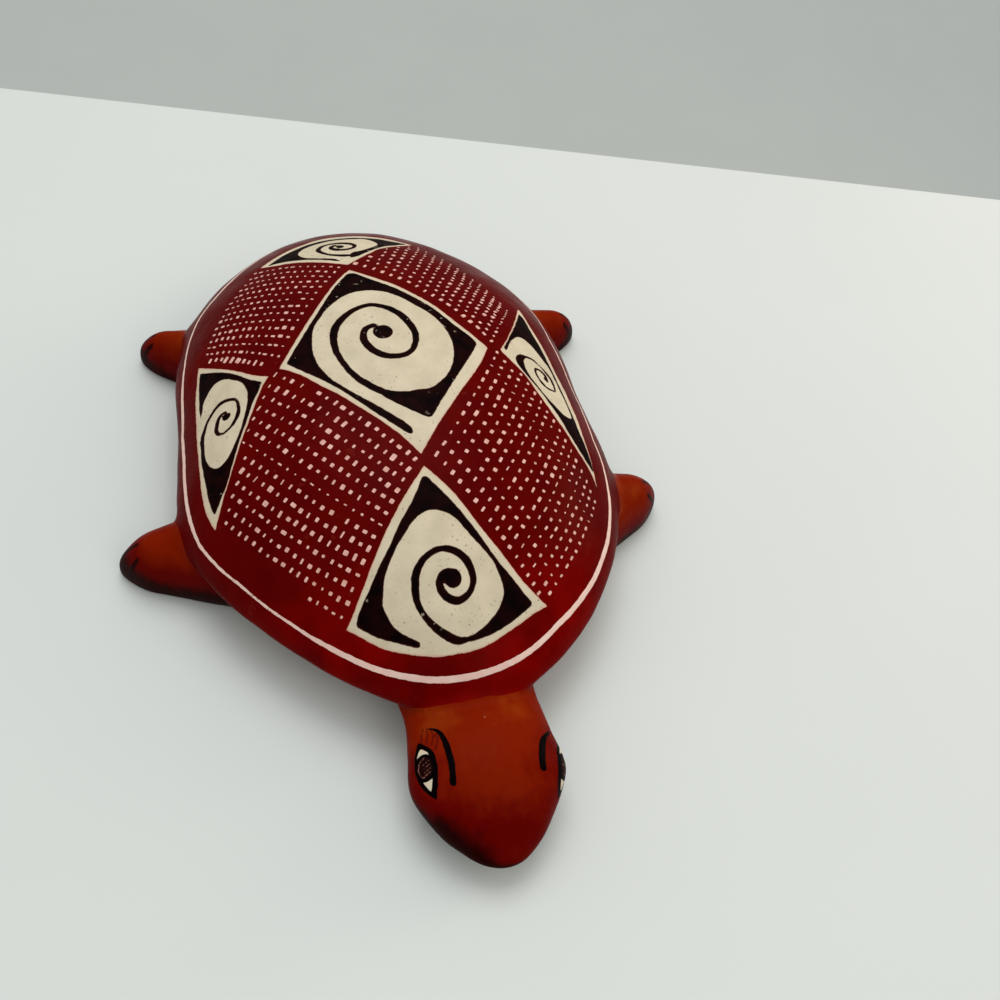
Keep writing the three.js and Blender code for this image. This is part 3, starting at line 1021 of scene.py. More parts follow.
@dataclass(frozen=True)
class Eye:
    """One painted eye with its brow: mm towards the nose and mm up, from the middle of the iris."""

    middle: tuple[float, float, float]
    brow: Outline
    rim: Outline = (
        (-4.9, -0.6), (-3.7, 0.8), (-2.4, 1.9), (-0.6, 2.3), (1.2, 2.2), (3.4, 1.6), (5.4, 0.5),
        (4.2, -0.6), (2.5, -1.5), (0.3, -1.95), (-2.1, -1.75),
    )
    white: Outline = (
        (-3.4, -0.3), (-2.9, 0.5), (-1.9, 1.2), (0.5, 1.4), (2.3, 0.95), (3.3, 0.55), (4.1, 0.05),
        (3.3, -0.35), (2.2, -0.9), (0.9, -1.65), (-0.8, -1.65), (-2.3, -1.1),
    )
    iris: tuple[float, float] = (2.05, 1.75)
    iris_ring: float = 0.26
    glints: tuple[Outline, ...] = (
        ((-0.5, -0.2), (-1.0, 1.0)), ((0.1, -0.1), (-0.25, 0.95)), ((0.8, -0.15), (0.35, 1.0)),
        ((1.5, -0.55), (0.9, 1.05)),
        ((-1.75, 0.35), (-1.1, -0.85), (0.1, -1.25), (1.0, -1.05), (1.8, -0.5)),
    )
    glint_half: float = 0.07
    glint_inset: float = 0.15
    lashes: tuple[Outline, ...] = (
        ((-4.2, 0.1), (-5.6, 0.1), (-7.0, 0.5)), ((-4.0, 1.0), (-5.5, 1.3), (-6.9, 1.2)),
        ((-3.4, 1.9), (-5.0, 2.4), (-6.4, 1.9)), ((-2.4, 2.4), (-3.9, 3.0), (-5.2, 2.8)),
    )
    lash_half: float = 0.2
    brow_half: float = 0.16
    brow_growth: float = 0.36
    brow_full_at: float = 0.45
    reach: float = 10.0
    depth: float = 4.5

    def marks(self, clay: ClayField, points: np.ndarray) -> dict[str, np.ndarray]:
        """Distances into the eye's paints at points of the head, below zero outside."""
        middle = clay.settle(np.array([self.middle]), 6)
        out = clay.normal(middle)[0]
        ahead = np.array([0, -1.0, 0]) + out[1] * out
        ahead /= np.linalg.norm(ahead)
        up = np.cross(out, ahead)
        up *= np.sign(up[2])
        away = points - middle[0]
        plan = np.stack([away @ ahead, away @ up], 1)
        near = (np.linalg.norm(away, axis=1) < self.reach) & (away @ out > -self.depth)
        white = area_distance(plan, drawn_curve(self.white, True, (6,)))
        gap, place = line_distance(plan, drawn_curve(self.brow, False), False)
        brow = self.brow_half + self.brow_growth * np.minimum(place / self.brow_full_at, 1) - gap
        rim = area_distance(plan, drawn_curve(self.rim, True, (0, 6)))
        ink = np.maximum(np.minimum(rim, -white), brow)
        iris = (1 - np.hypot(*(plan / np.array(self.iris)).T)) * min(self.iris)
        ink = np.maximum(ink, self.iris_ring - np.abs(iris))

        def strokes(lines: tuple[Outline, ...], half: float) -> np.ndarray:
            """Distance into the nearest of some short strokes."""
            gaps = [line_distance(plan, np.array(line), False)[0] for line in lines]
            return half - np.min(gaps, axis=0)

        glints = np.minimum(strokes(self.glints, self.glint_half), iris - self.glint_inset)
        found = {
            "cream_slip": white, "black_paint": ink, "iris_paint": iris, "glint_lines": glints,
            "lash_lines": strokes(self.lashes, self.lash_half),
        }
        return {name: np.where(near, value, UNPAINTED) for name, value in found.items()}


@dataclass(frozen=True)
class LimbPaint:
    """What is painted on the limbs: two eyes with their brows, and toe strokes at the feet's tips."""

    eyes: tuple[Eye, ...] = (
        Eye(
            (-7.59, -69.85, 12.88),
            ((-6.7, 1.5), (-6.0, 2.7), (-4.5, 3.75), (-1.6, 4.4), (1.3, 4.55), (3.9, 4.0)),
        ),
        Eye((15.79, -73.5, 10.39), ((-5.7, 1.7), (-4.2, 3.7), (-1.8, 4.9), (0.3, 5.15), (1.2, 5.0))),
    )
    toe_places: tuple[float, ...] = (-0.66, -0.02, 0.62)
    toe_half_stroke: float = 0.4
    toe_length: float = 4.6
    toe_lowest: float = 2.0
    toe_width_at: float = 0.8
    toe_spread: float = 0.86
    toe_fan: float = 0.07

    def face(self, clay: ClayField, points: np.ndarray) -> dict[str, np.ndarray]:
        """Distances into every paint of the head."""
        each = [eye.marks(clay, points) for eye in self.eyes]
        return {name: np.maximum(each[0][name], each[1][name]) for name in each[0]}

    def toes(self, clay: ClayField, limb: Limb, points: np.ndarray) -> np.ndarray:
        """Distance into a foot's toe strokes, below zero outside."""
        share, across = limb.placed(clay.form, points)
        length = limb.bury + limb.reach
        into = share * length - (length - self.toe_length)
        width = smooth_run(limb.half_widths, np.array([self.toe_width_at]))[0]
        spread = width * (self.toe_spread + self.toe_fan * into)
        fan = [
            np.minimum(self.toe_half_stroke - np.abs(across - place * spread), into)
            for place in self.toe_places
        ]
        return np.minimum(np.max(fan, axis=0), points[:, 2] - self.toe_lowest)


# ---------------------------------------------------------------- node trees


def add(
    tree: bpy.types.NodeTree, kind: str, inputs: dict[str | int, object] | None = None,
    **settings: object,
) -> bpy.types.Node:
    """Add a node with its settings, values and links.

    Args:
        tree: The tree that takes it.
        kind: The node's type.
        inputs: Values, tones, or the sockets to link, by the input's name or number.
        settings: The node's own settings.

    Returns:
        The node.
    """
    node = tree.nodes.new(kind)
    for name, value in settings.items():
        setattr(node, name, value)
    for key, value in (inputs or {}).items():
        if isinstance(value, Socket):
            tree.links.new(value, node.inputs[key])
        else:
            node.inputs[key].default_value = linear(value) if isinstance(value, Tone) else value
    return node


def combined(tree: bpy.types.NodeTree, operation: str, *values: Socket | float) -> Socket:
    """Any number of values taken together in turn, such as their sum or their product.

    Args:
        tree: The tree.
        operation: How each next one is taken with those before it.
        values: The values.

    Returns:
        The result.
    """
    total, *others = values
    for value in others:
        total = add(tree, "ShaderNodeMath", {0: total, 1: value}, operation=operation).outputs[0]
    return total


def new_tree(name: str, inputs: dict[str, str]) -> tuple[bpy.types.NodeTree, bpy.types.Node]:
    """A geometry-node tree with named inputs and one geometry output.

    Args:
        name: The tree's name.
        inputs: The type of each input's socket, by name.

    Returns:
        The tree and its input node.
    """
    tree = bpy.data.node_groups.new(name, "GeometryNodeTree")
    tree.interface.new_socket("Geometry", in_out="OUTPUT", socket_type="NodeSocketGeometry")
    for label, kind in {"Geometry": "NodeSocketGeometry", **inputs}.items():
        tree.interface.new_socket(label, in_out="INPUT", socket_type=kind)
    return tree, add(tree, "NodeGroupInput")


def finish_tree(tree: bpy.types.NodeTree, geometry: Socket, material: Socket) -> None:
    """End a geometry-node tree: real instances, in their material.

    Args:
        tree: The tree.
        geometry: What it made.
        material: The socket that holds the material.
    """
    real = add(tree, "GeometryNodeRealizeInstances", {0: geometry}).outputs[0]
    dressed = add(tree, "GeometryNodeSetMaterial", {"Geometry": real, "Material": material})
    add(tree, "NodeGroupOutput", {0: dressed.outputs[0]})


def grown(
    name: str, tree: bpy.types.NodeTree, seed: bpy.types.Mesh, values: dict[str, object]
) -> bpy.types.Object:
    """Run a tree on a mesh and keep what it makes as a plain mesh.

    Args:
        name: The new object's name.
        tree: The tree.
        seed: The mesh that the tree starts from.
        values: The tree's inputs, by name.

    Returns:
        The object, at the origin, with no modifier left.
    """
    made = bpy.data.objects.new(name, seed)
    bpy.context.scene.collection.objects.link(made)
    modifier = made.modifiers.new("growth", "NODES")
    modifier.node_group = tree
    for item in tree.interface.items_tree:
        if item.item_type == "SOCKET" and item.in_out == "INPUT" and item.name in values:
            modifier[item.identifier] = values[item.name]
    graph = bpy.context.evaluated_depsgraph_get()
    mesh = bpy.data.meshes.new_from_object(made.evaluated_get(graph), depsgraph=graph)
    made.modifiers.remove(modifier)
    made.data = mesh
    return made


# ---------------------------------------------------------------- hatching


@dataclass(frozen=True)
class HatchField:
    """A quarter of the dome filled with rows of short slip marks.

    Three by three points of its lattice on the plan, how many marks it has each way,
    which rows and columns are painted, and the range of the marks' sizes in mm.
    """

    name: str
    corners: tuple[tuple[tuple[float, float], ...], ...]
    columns: int
    rows: int
    first_row: int
    last_row: int
    widths: tuple[float, float]
    heights: tuple[float, float]
    seed: int
    faint_column: int = -1
    tiny_row: int = -1
    partial_rows: tuple[tuple[int, int, int, float], ...] = ()
    fade: float = 0.0
    faint_share: float = 0.35
    tiny_height: float = 0.34
    spread: tuple[float, float] = (0.65, 1.35)
    wander: float = 0.07
    skipped: float = 0.012

    def at(self, u: np.ndarray, v: np.ndarray) -> np.ndarray:
        """Places on the plan, on the curved surface through the nine points.

        Args:
            u: Shares along the rows.
            v: Shares across them.

        Returns:
            One point of the plan per row.
        """
        across, down = (
            np.stack([(1 - t) * (1 - 2 * t), 4 * t * (1 - t), t * (2 * t - 1)], 1) for t in (u, v)
        )
        return np.einsum("nj,ni,jik->nk", down, across, np.array(self.corners))

    def places(self) -> tuple[np.ndarray, np.ndarray, np.ndarray]:
        """Where the marks go on the plan.

        Returns:
            The plan points, the way along each row, and each mark's width and height in mm.
        """
        rng = np.random.default_rng(self.seed)
        full = [(i, j, 0.0) for i in range(self.columns) for j in range(self.first_row, self.last_row + 1)]
        part = [(i, j, tall) for j, start, end, tall in self.partial_rows for i in range(start, end)]
        i, j, given = np.array(full + part).T
        i, j = i.astype(int), j.astype(int)
        u, v = i / (self.columns - 1), j / (self.rows - 1)
        plan, along = self.at(u, v), self.at(u + 0.01, v) - self.at(u - 0.01, v)
        wide = rng.uniform(*self.widths, self.columns)
        tall = rng.uniform(*self.heights, self.rows + 2)
        if self.faint_column >= 0:
            wide[self.faint_column] *= self.faint_share
        if self.tiny_row >= 0:
            tall[self.tiny_row] = self.tiny_height
        size = np.stack([wide[i], np.where(given > 0, given, tall[j])], 1)
        size = size * rng.uniform(*self.spread, (len(i), 2)) * (1 - self.fade * v)[:, None]
        plan = plan + rng.normal(0, self.wander, plan.shape)
        kept = rng.uniform(0, 1, len(i)) > self.skipped
        return plan[kept], along[kept] / np.linalg.norm(along[kept], axis=1, keepdims=True), size[kept]


HATCHING = (
    HatchField(
        "front right",
        (((-19.6, 6.4), (-8.0, -6.3), (1.5, -18.9)), ((-28.5, -8.3), (-18.7, -20.4), (-8.0, -31.3)),
         ((-35.4, -22.5), (-26.4, -33.8), (-16.7, -43.7))),
        18, 15, 0, 13, (0.35, 0.85), (0.65, 1.05), 11, -1, 7,
        ((-1, 5, 8, 0.3), (-1, 8, 14, 0.6), (-1, 14, 18, 0.35), (14, 13, 18, 0.6)),
    ),
    HatchField(
        "front left",
        (((4.1, -20.2), (14.6, -6.9), (22.6, 5.9)), ((11.9, -34.9), (21.6, -23.3), (28.9, -12.2)),
         ((18.0, -47.3), (27.0, -37.5), (33.4, -28.1))),
        14, 17, 0, 16, (0.65, 1.2), (0.4, 0.75), 23, 10, fade=0.3,
    ),
    HatchField(
        "rear right",
        (((-21.0, 38.3), (-13.6, 35.5), (-4.8, 31.5)), ((-28.7, 26.6), (-21.5, 23.8), (-12.9, 20.2)),
         ((-33.3, 16.3), (-27.3, 11.5), (-21.1, 6.5))),
        13, 15, 0, 13, (0.45, 0.85), (0.35, 0.7), 37, partial_rows=((14, 1, 12, 1.1),),
    ),
    HatchField(
        "rear left",
        (((-1.2, 32.3), (11.4, 20.5), (21.0, 6.9)), ((3.5, 42.3), (15.9, 29.0), (25.2, 13.9)),
         ((6.4, 49.6), (18.5, 34.8), (27.6, 18.2))),
        18, 12, 0, 11, (0.4, 0.8), (0.55, 0.9), 41, fade=0.4,
    ),
)


@dataclass(frozen=True)
class Hatching:
    """The rows of pink marks on the dome, each a dab of slip laid on the skin."""

    fields: tuple[HatchField, ...] = HATCHING
    sides: int = 16
    thickness: float = 0.07
    squareness: float = 7.0
    turn_jitter: float = 0.09
    clear_of_panels: float = 0.55
    clear_of_ring: float = 0.9
    tail_clear: float = 43.0
    seed: int = 5

    def tree(self) -> bpy.types.NodeTree:
        """Dabs with rounded corners on every point, turned to the skin and to their row."""
        tree, given = new_tree("slip_dabs", {
            "Thickness": "NodeSocketFloat", "Squareness": "NodeSocketFloat",
            "Turn jitter": "NodeSocketFloat", "Seed": "NodeSocketInt", "Slip": "NodeSocketMaterial",
        })
        given = given.outputs

        def kept(name: str, kind: str) -> Socket:
            """A named attribute of the points."""
            return add(tree, "GeometryNodeInputNamedAttribute", {"Name": name}, data_type=kind).outputs[0]

        disc = add(tree, "GeometryNodeMeshCylinder", {"Vertices": self.sides, "Radius": 0.5, "Depth": 1.0})
        place = add(tree, "GeometryNodeInputPosition").outputs[0]
        level = {0: place, 1: (1.0, 1.0, 0.0)}
        flat = add(tree, "ShaderNodeVectorMath", level, operation="MULTIPLY").outputs[0]
        way = add(tree, "ShaderNodeVectorMath", {0: flat}, operation="NORMALIZE").outputs[0]
        parts = add(tree, "ShaderNodeSeparateXYZ", {0: way})
        power = given["Squareness"]
        terms = []
        for part in list(parts.outputs)[:2]:
            size = add(tree, "ShaderNodeMath", {0: part}, operation="ABSOLUTE").outputs[0]
            terms.append(combined(tree, "POWER", size, power))
        root = combined(tree, "DIVIDE", -1.0, power)
        swell = combined(tree, "POWER", combined(tree, "ADD", *terms), root)
        both = add(tree, "ShaderNodeCombineXYZ", {0: swell, 1: swell, 2: 1.0}).outputs[0]
        squared = add(tree, "ShaderNodeVectorMath", {0: place, 1: both}, operation="MULTIPLY").outputs[0]
        dab = add(tree, "GeometryNodeSetPosition", {"Geometry": disc.outputs["Mesh"], "Position": squared})
        facing = add(tree, "FunctionNodeAxesToRotation", {
            "Primary Axis": kept("facing", "FLOAT_VECTOR"), "Secondary Axis": kept("along", "FLOAT_VECTOR"),
        }, primary_axis="Z", secondary_axis="X").outputs[0]
        most, seed = given["Turn jitter"], given["Seed"]
        least = combined(tree, "MULTIPLY", most, -1.0)
        angle = add(tree, "FunctionNodeRandomValue", {2: least, 3: most, "Seed": seed})
        about = {"Axis": (0.0, 0.0, 1.0), "Angle": angle.outputs[1]}
        spin = add(tree, "FunctionNodeAxisAngleToRotation", about).outputs[0]
        turned = add(tree, "FunctionNodeRotateRotation", {0: facing, 1: spin}, rotation_space="LOCAL")
        scale = add(tree, "ShaderNodeCombineXYZ", {
            0: kept("wide", "FLOAT"), 1: kept("tall", "FLOAT"), 2: given["Thickness"],
        })
        dabs = add(tree, "GeometryNodeInstanceOnPoints", {
            "Points": given["Geometry"], "Instance": dab.outputs[0], "Rotation": turned.outputs[0],
            "Scale": scale.outputs[0],
        })
        finish_tree(tree, dabs.outputs[0], given["Slip"])
        return tree

    def build(self, clay: ClayField, paint: Paintwork, slip: bpy.types.Material) -> bpy.types.Object:
        """All the marks as one piece.

        Args:
            clay: The skin that they lie on.
            paint: The painting that they keep clear of.
            slip: Their material.

        Returns:
            The piece.
        """
        found = [hatch.places() for hatch in self.fields]
        plan, along, size = (np.vstack(part) for part in zip(*found))
        points = clay.settle(np.column_stack([plan, clay.form.dome_height(plan)]), 4)
        facing = clay.normal(points)
        marks = paint.marks(points, facing)
        clear = (marks["cream_slip"] < -self.clear_of_panels) & (marks["ring_line"] < -self.clear_of_ring)
        clear &= points[:, 1] < self.tail_clear
        points, facing, along, size = points[clear], facing[clear], along[clear], size[clear]
        seed = bpy.data.meshes.new("hatch_places")
        seed.from_pydata(((points + SHELL_MIDDLE) * MM).tolist(), [], [])
        level = np.column_stack([along, np.zeros(len(along))])
        for name, kind, slot, values in (
            ("facing", "FLOAT_VECTOR", "vector", facing), ("along", "FLOAT_VECTOR", "vector", level),
            ("wide", "FLOAT", "value", size[:, 0] * MM), ("tall", "FLOAT", "value", size[:, 1] * MM),
        ):
            kept = seed.attributes.new(name, kind, "POINT")
            kept.data.foreach_set(slot, values.astype(np.float32).ravel())
        log.info("hatching: %d marks", len(points))
        return grown("hatch_marks", self.tree(), seed, {
            "Thickness": self.thickness * MM, "Squareness": self.squareness,
            "Turn jitter": self.turn_jitter, "Seed": self.seed, "Slip": slip,
        })


# ---------------------------------------------------------------- finishes


class Mixer:
    """One material's tree, and the patterns on Object coordinates that every finish is mixed from."""

    def __init__(self, name: str) -> None:
        """Start a material with an empty tree."""
        self.material = bpy.data.materials.new(name)
        self.material.use_nodes = True
        self.tree = self.material.node_tree
        self.tree.nodes.clear()
        self.at = add(self.tree, "ShaderNodeTexCoord").outputs["Object"]

    def noise(
        self, size: float, detail: float = 3, low: float = 0, high: float = 1, at: Socket | None = None
    ) -> Socket:
        """A cloudy pattern.

        Args:
            size: Its features' size, in mm.
            detail: Its finer octaves.
            low: The value that its low parts turn to.
            high: The value that its high parts turn to.
            at: Where it is read, if not at the Object coordinates.

        Returns:
            The pattern's value.
        """
        inputs = {"Vector": self.at if at is None else at, "Scale": per_mm(size), "Detail": detail}
        cloud = add(self.tree, "ShaderNodeTexNoise", inputs).outputs["Fac"]
        return self.eased(cloud, 0.3, 0.7, low, high)

    def eased(
        self, value: Socket | str, start: float, end: float, low: float = 0, high: float = 1
    ) -> Socket:
        """How far a value has come from a start to an end, with soft ends.

        Args:
            value: The value, or the name of a painted distance, in mm.
            start: Where it begins to count.
            end: Where it counts in full.
            low: What it is before the start.
            high: What it is past the end.

        Returns:
            The new value.
        """
        if isinstance(value, str):
            value = add(self.tree, "ShaderNodeAttribute", attribute_name=value).outputs["Fac"]
        inputs = {"Value": value, "From Min": start, "From Max": end, "To Min": low, "To Max": high}
        return add(self.tree, "ShaderNodeMapRange", inputs, interpolation_type="SMOOTHSTEP").outputs[0]

    def edge(self, name: str, waver: Socket, soft: float = 0.05) -> Socket:
        """A brushed edge: 1 inside the named painted distance, 0 outside, a little uneven."""
        inside = add(self.tree, "ShaderNodeAttribute", attribute_name=name).outputs["Fac"]
        return self.eased(combined(self.tree, "ADD", inside, waver), -soft, soft)

    def layered(self, ground: Socket | Tone, *layers: tuple[Socket | float, Socket | Tone]) -> Socket:
        """Colours laid one over another.

        Args:
            ground: The lowest.
            layers: How much of each next one covers what is under it, and its colour.

        Returns:
            The colour that shows.
        """
        for share, colour in layers:
            inputs = {0: share, 6: ground, 7: colour}
            ground = add(self.tree, "ShaderNodeMix", inputs, data_type="RGBA").outputs[2]
        return ground

    def relief(self, *heights: tuple[Socket | float, float]) -> Socket:
        """Patterns added up, each times its own height."""
        total: Socket | float = 0.0
        for pattern, height in heights:
            inputs = {0: pattern, 1: height, 2: total}
            total = add(self.tree, "ShaderNodeMath", inputs, operation="MULTIPLY_ADD").outputs[0]
        return total

    def close(
        self, colour: Socket, roughness: Socket | float, sheen: float, height: Socket | None = None,
        depth: float = 1.0, strength: float = 1.0,
    ) -> bpy.types.Material:
        """End the tree with its shader.

        Args:
            colour: The base colour.
            roughness: The roughness.
            sheen: The specular level.
            height: The relief, if there is any.
            depth: What one of that height stands for, in mm.
            strength: How strongly it shades.

        Returns:
            The material.
        """
        inputs = {"Base Color": colour, "Roughness": roughness, "Specular IOR Level": sheen}
        if height is not None:
            bump = {"Height": height, "Distance": depth * MM, "Strength": strength}
            inputs["Normal"] = add(self.tree, "ShaderNodeBump", bump).outputs[0]
        shader = add(self.tree, "ShaderNodeBsdfPrincipled", inputs)
        add(self.tree, "ShaderNodeOutputMaterial", {"Surface": shader.outputs[0]})
        return self.material


@dataclass(frozen=True)
class PaintedSlip:
    """Burnished red slip on earthenware, with cream and black slip painting.

    Rubbed with a pebble: a deep oxide red, near matt from above, with a satin gloss only
    at a glance along it, mottled where the slip is thin. The painting is duller and a
    little raised, with brushed edges, pits in the cream and a few small chips.
    """

    name: str = "burnished_red_slip_painted"
    roughness: float = 0.3
    paint_roughness: float = 0.45
    polish_spread: float = 0.06
    sheen: float = 0.014
    # Painted light: where the red begins and ends turning lighter towards the head, in mm along Y.
    painted_light_from: float = -18.0
    painted_light_to: float = -38.0
    mottle_mm: float = 8.0
    worn_mm: float = 11.0
    rub_mm: float = 2.6
    cloud_mm: float = 4.5
    pit_mm: float = 0.45
    brush_mm: float = 2.4
    waver_mm: float = 1.3
    waver: float = 0.05
    black_soft: float = 0.08
    pit_patch_mm: float = 6.0
    ring_cloud_mm: float = 1.6
    polish_mm: float = 5.0
    chip_mm: float = 1.1
    paint_height: float = 0.05
    grain_mm: float = 0.5
    grain_height: float = 0.012
    stroke_mm: float = 3.0
    stroke_height: float = 0.05
    relief_strength: float = 0.8

    def red(self, mixer: Mixer, worn_here: Socket) -> Socket:
        """The ground: painted lighter towards the head as painted light on the front band, mottled, and
        rubbed where it is worn.
        """
        along = add(mixer.tree, "ShaderNodeSeparateXYZ", {0: mixer.at}).outputs["Y"]
        # Painted light: the red is made lighter towards the head, standing in for light on the front band.
        full = mixer.eased(along, self.painted_light_from * MM, self.painted_light_to * MM)
        slip = mixer.layered(Tone.RED_SLIP, (full, Tone.RED_SLIP_PAINTED_LIGHT))
        rubbed = mixer.eased(mixer.noise(self.rub_mm, 6), 0.93, 1.0, 0, 0.3)
        return mixer.layered(
            Tone.RED_SLIP_DEEP,
            (mixer.noise(self.mottle_mm, 5, 0.35, 1), slip),
            (combined(mixer.tree, "MULTIPLY", rubbed, worn_here), Tone.RED_SLIP_WORN),
        )

    def cream(self, mixer: Mixer) -> Socket:
        """The panels' cream: clouded, warmer where it thins at its edge, with grey pits."""
        cloudy = mixer.layered(Tone.CREAM_SLIP, (mixer.noise(self.cloud_mm, 5, 0, 0.38), Tone.CREAM_THIN))
        pits = mixer.eased(mixer.noise(self.pit_mm, 2), 0.985, 0.999, 0, 0.7)
        return mixer.layered(
            Tone.CREAM_EDGE,
            (mixer.eased("cream_slip", 0.03, 0.35), cloudy),
            (combined(mixer.tree, "MULTIPLY", pits, mixer.noise(self.pit_patch_mm, 2)), Tone.PIT_GREY),
        )

    def black(self, mixer: Mixer) -> Socket:
        """The black: brown where the brush ran thin."""
        deep = mixer.eased("black_paint", 0.0, 0.3)
        thick = combined(mixer.tree, "MULTIPLY", deep, mixer.noise(self.brush_mm, 3, 0.72, 1))
        return mixer.layered(Tone.BLACK_THIN, (thick, Tone.BLACK_PAINT))

    def build(self) -> bpy.types.Material:
        """The material, with its tree."""
        mixer = Mixer(self.name)
        tree = mixer.tree
        waver = mixer.noise(self.waver_mm, 3, -self.waver, self.waver)
        cream_in, ring_in = (mixer.edge(name, waver) for name in ("cream_slip", "ring_line"))
        black_in = mixer.edge("black_paint", waver, self.black_soft)
        worn_here = mixer.eased(mixer.noise(self.worn_mm, 2), 0.55, 0.9)
        chip = mixer.eased(mixer.noise(self.chip_mm, 4), 0.965, 0.995)
        chip = combined(tree, "MULTIPLY", chip, worn_here)
        ring = mixer.layered(Tone.RING_SLIP, (mixer.noise(self.ring_cloud_mm, 4, 0, 0.5), Tone.PINK_SLIP))
        colour = mixer.layered(
            self.red(mixer, worn_here),
            (combined(tree, "MULTIPLY", ring_in, combined(tree, "SUBTRACT", 1.0, chip)), ring),
            (cream_in, self.cream(mixer)),
            (combined(tree, "MULTIPLY", black_in, mixer.eased(chip, 0, 1, 1, 0.6)), self.black(mixer)),
        )
        painted = combined(tree, "MAXIMUM", cream_in, black_in, ring_in)
        dullest = self.roughness + self.polish_spread
        polish = mixer.noise(self.polish_mm, 4, self.roughness - self.polish_spread, dullest)
        rough = add(tree, "ShaderNodeMix", {0: painted, 2: polish, 3: self.paint_roughness}).outputs[0]
        height = mixer.relief(
            (mixer.noise(self.grain_mm, 3), self.grain_height),
            (painted, self.paint_height),
            (mixer.noise(self.stroke_mm, 2), self.stroke_height),
        )
        return mixer.close(colour, rough, self.sheen, height, strength=self.relief_strength)


@dataclass(frozen=True)
class DabSlip:
    """Pale slip turned pink by the red under it: dull, thin and uneven, as short brush dabs dry."""

    name: str = "pink_slip_dabs"
    roughness: float = 0.5
    sheen: float = 0.08
    cloud_mm: float = 1.5
    dull_mm: float = 0.8
    grain_mm: float = 0.4
    grain_height: float = 0.02

    def build(self) -> bpy.types.Material:
        """The material, with its tree."""
        mixer = Mixer(self.name)
        colour = mixer.layered(Tone.PINK_SLIP, (mixer.noise(self.cloud_mm, 4, 0, 0.6), Tone.PINK_THIN))
        rough = mixer.noise(self.dull_mm, 2, self.roughness - 0.06, self.roughness + 0.06)
        return mixer.close(colour, rough, self.sheen, mixer.noise(self.grain_mm, 3), self.grain_height)


@dataclass(frozen=True)
class BurnishedClay:
    """Burnished orange earthenware, darker and redder where the kiln's smoke reached it, with painted light
    and shade on the head and underneath.

    The wiping strokes run down the head and show as streaks, the head is painted lighter and golden next to
    the shell as painted light, and the eyes, brows and toes are painted on.
    """

    name: str = "burnished_orange_clay"
    roughness: float = 0.36
    sheen: float = 0.014
    mottle_mm: float = 5.0
    streak_mm: float = 1.3
    streak_ways: tuple[float, float, float] = (1.0, 0.55, 0.3)
    grit_mm: float = 7.0
    waver_mm: float = 1.1
    waver: float = 0.04
    polish_mm: float = 4.0
    paints: tuple[tuple[str, Tone, float], ...] = (
        ("lash_lines", Tone.LASH_RED, 0.6), ("toe_strokes", Tone.CLAY_DARK, 0.9),
        ("cream_slip", Tone.CREAM_SLIP, 1.0), ("iris_paint", Tone.IRIS_BROWN, 1.0),
        ("glint_lines", Tone.PINK_THIN, 0.45), ("black_paint", Tone.BLACK_PAINT, 1.0),
    )
    dent_mm: float = 2.5
    dent_height: float = 0.06
    grain_mm: float = 0.5
    grain_height: float = 0.015
    paint_height: float = 0.03
    relief_strength: float = 0.8

    def clay(self, mixer: Mixer) -> Socket:
        """The bare clay, coloured by the kiln's smoke and by painted light and shade, with a few pale
        specks of grit.
        """
        tree = mixer.tree
        stretch = {0: mixer.at, 1: self.streak_ways}
        streaked = add(tree, "ShaderNodeVectorMath", stretch, operation="MULTIPLY").outputs[0]
        cloud = mixer.noise(self.mottle_mm, 5, -0.13, 0.13)
        streaks = mixer.noise(self.streak_mm, 4, -0.06, 0.06, streaked)
        firing_and_shade = add(tree, "ShaderNodeAttribute", attribute_name="firing_and_shade").outputs["Fac"]
        # The kiln's smoke together with painted light and shade sets how dark the bare clay is here.
        fired = combined(tree, "ADD", cloud, streaks, firing_and_shade)
        grit = add(tree, "ShaderNodeTexVoronoi", {"Vector": mixer.at, "Scale": per_mm(self.grit_mm)})
        return mixer.layered(
            Tone.CLAY_GOLD,
            (mixer.eased(fired, -0.45, 0.15), Tone.CLAY_ORANGE),
            (mixer.eased(fired, 0.15, 0.85), Tone.CLAY_RED),
            (mixer.eased(fired, 0.85, 1.6, 0, 0.95), Tone.CLAY_DARK),
            (mixer.eased(grit.outputs["Distance"], 0.035, 0.02, 0, 0.5), Tone.PINK_THIN),
        )

    def build(self) -> bpy.types.Material:
        """The material, with its tree."""
        mixer = Mixer(self.name)
        waver = mixer.noise(self.waver_mm, 2, -self.waver, self.waver)
        inside = [mixer.edge(name, waver) for name, _, _ in self.paints]
        layers = [
            (combined(mixer.tree, "MULTIPLY", here, share), tone)
            for here, (_, tone, share) in zip(inside, self.paints)
        ]
        height = mixer.relief(
            (mixer.noise(self.dent_mm, 3), self.dent_height),
            (mixer.noise(self.grain_mm, 3), self.grain_height),
            (combined(mixer.tree, "MAXIMUM", *inside), self.paint_height),
        )
        rough = mixer.noise(self.polish_mm, 4, self.roughness - 0.06, self.roughness + 0.08)
        colour = mixer.layered(self.clay(mixer), *layers)
        return mixer.close(colour, rough, self.sheen, height, strength=self.relief_strength)


@dataclass(frozen=True)
class RawClay:
    """Unslipped fired clay, as the pellets are: dry, dull and grainy, with redder grains."""

    name: str = "raw_fired_clay"
    sheen: float = 0.3
    mottle_mm: float = 1.8
    grain_mm: float = 0.35
    dull_mm: float = 1.0
    pit_mm: float = 0.4
    pit_height: float = 0.06

    def build(self) -> bpy.types.Material:
        """The material, with its tree."""
        mixer = Mixer(self.name)
        colour = mixer.layered(
            Tone.RAW_CLAY,
            (mixer.noise(self.mottle_mm, 5), Tone.RAW_CLAY_PALE),
            (mixer.eased(mixer.noise(self.grain_mm, 2), 0.9, 0.98, 0, 0.6), Tone.CLAY_RED),
        )
        rough = mixer.noise(self.dull_mm, 3, 0.78, 0.9)
        return mixer.close(colour, rough, self.sheen, mixer.noise(self.pit_mm, 4), self.pit_height)


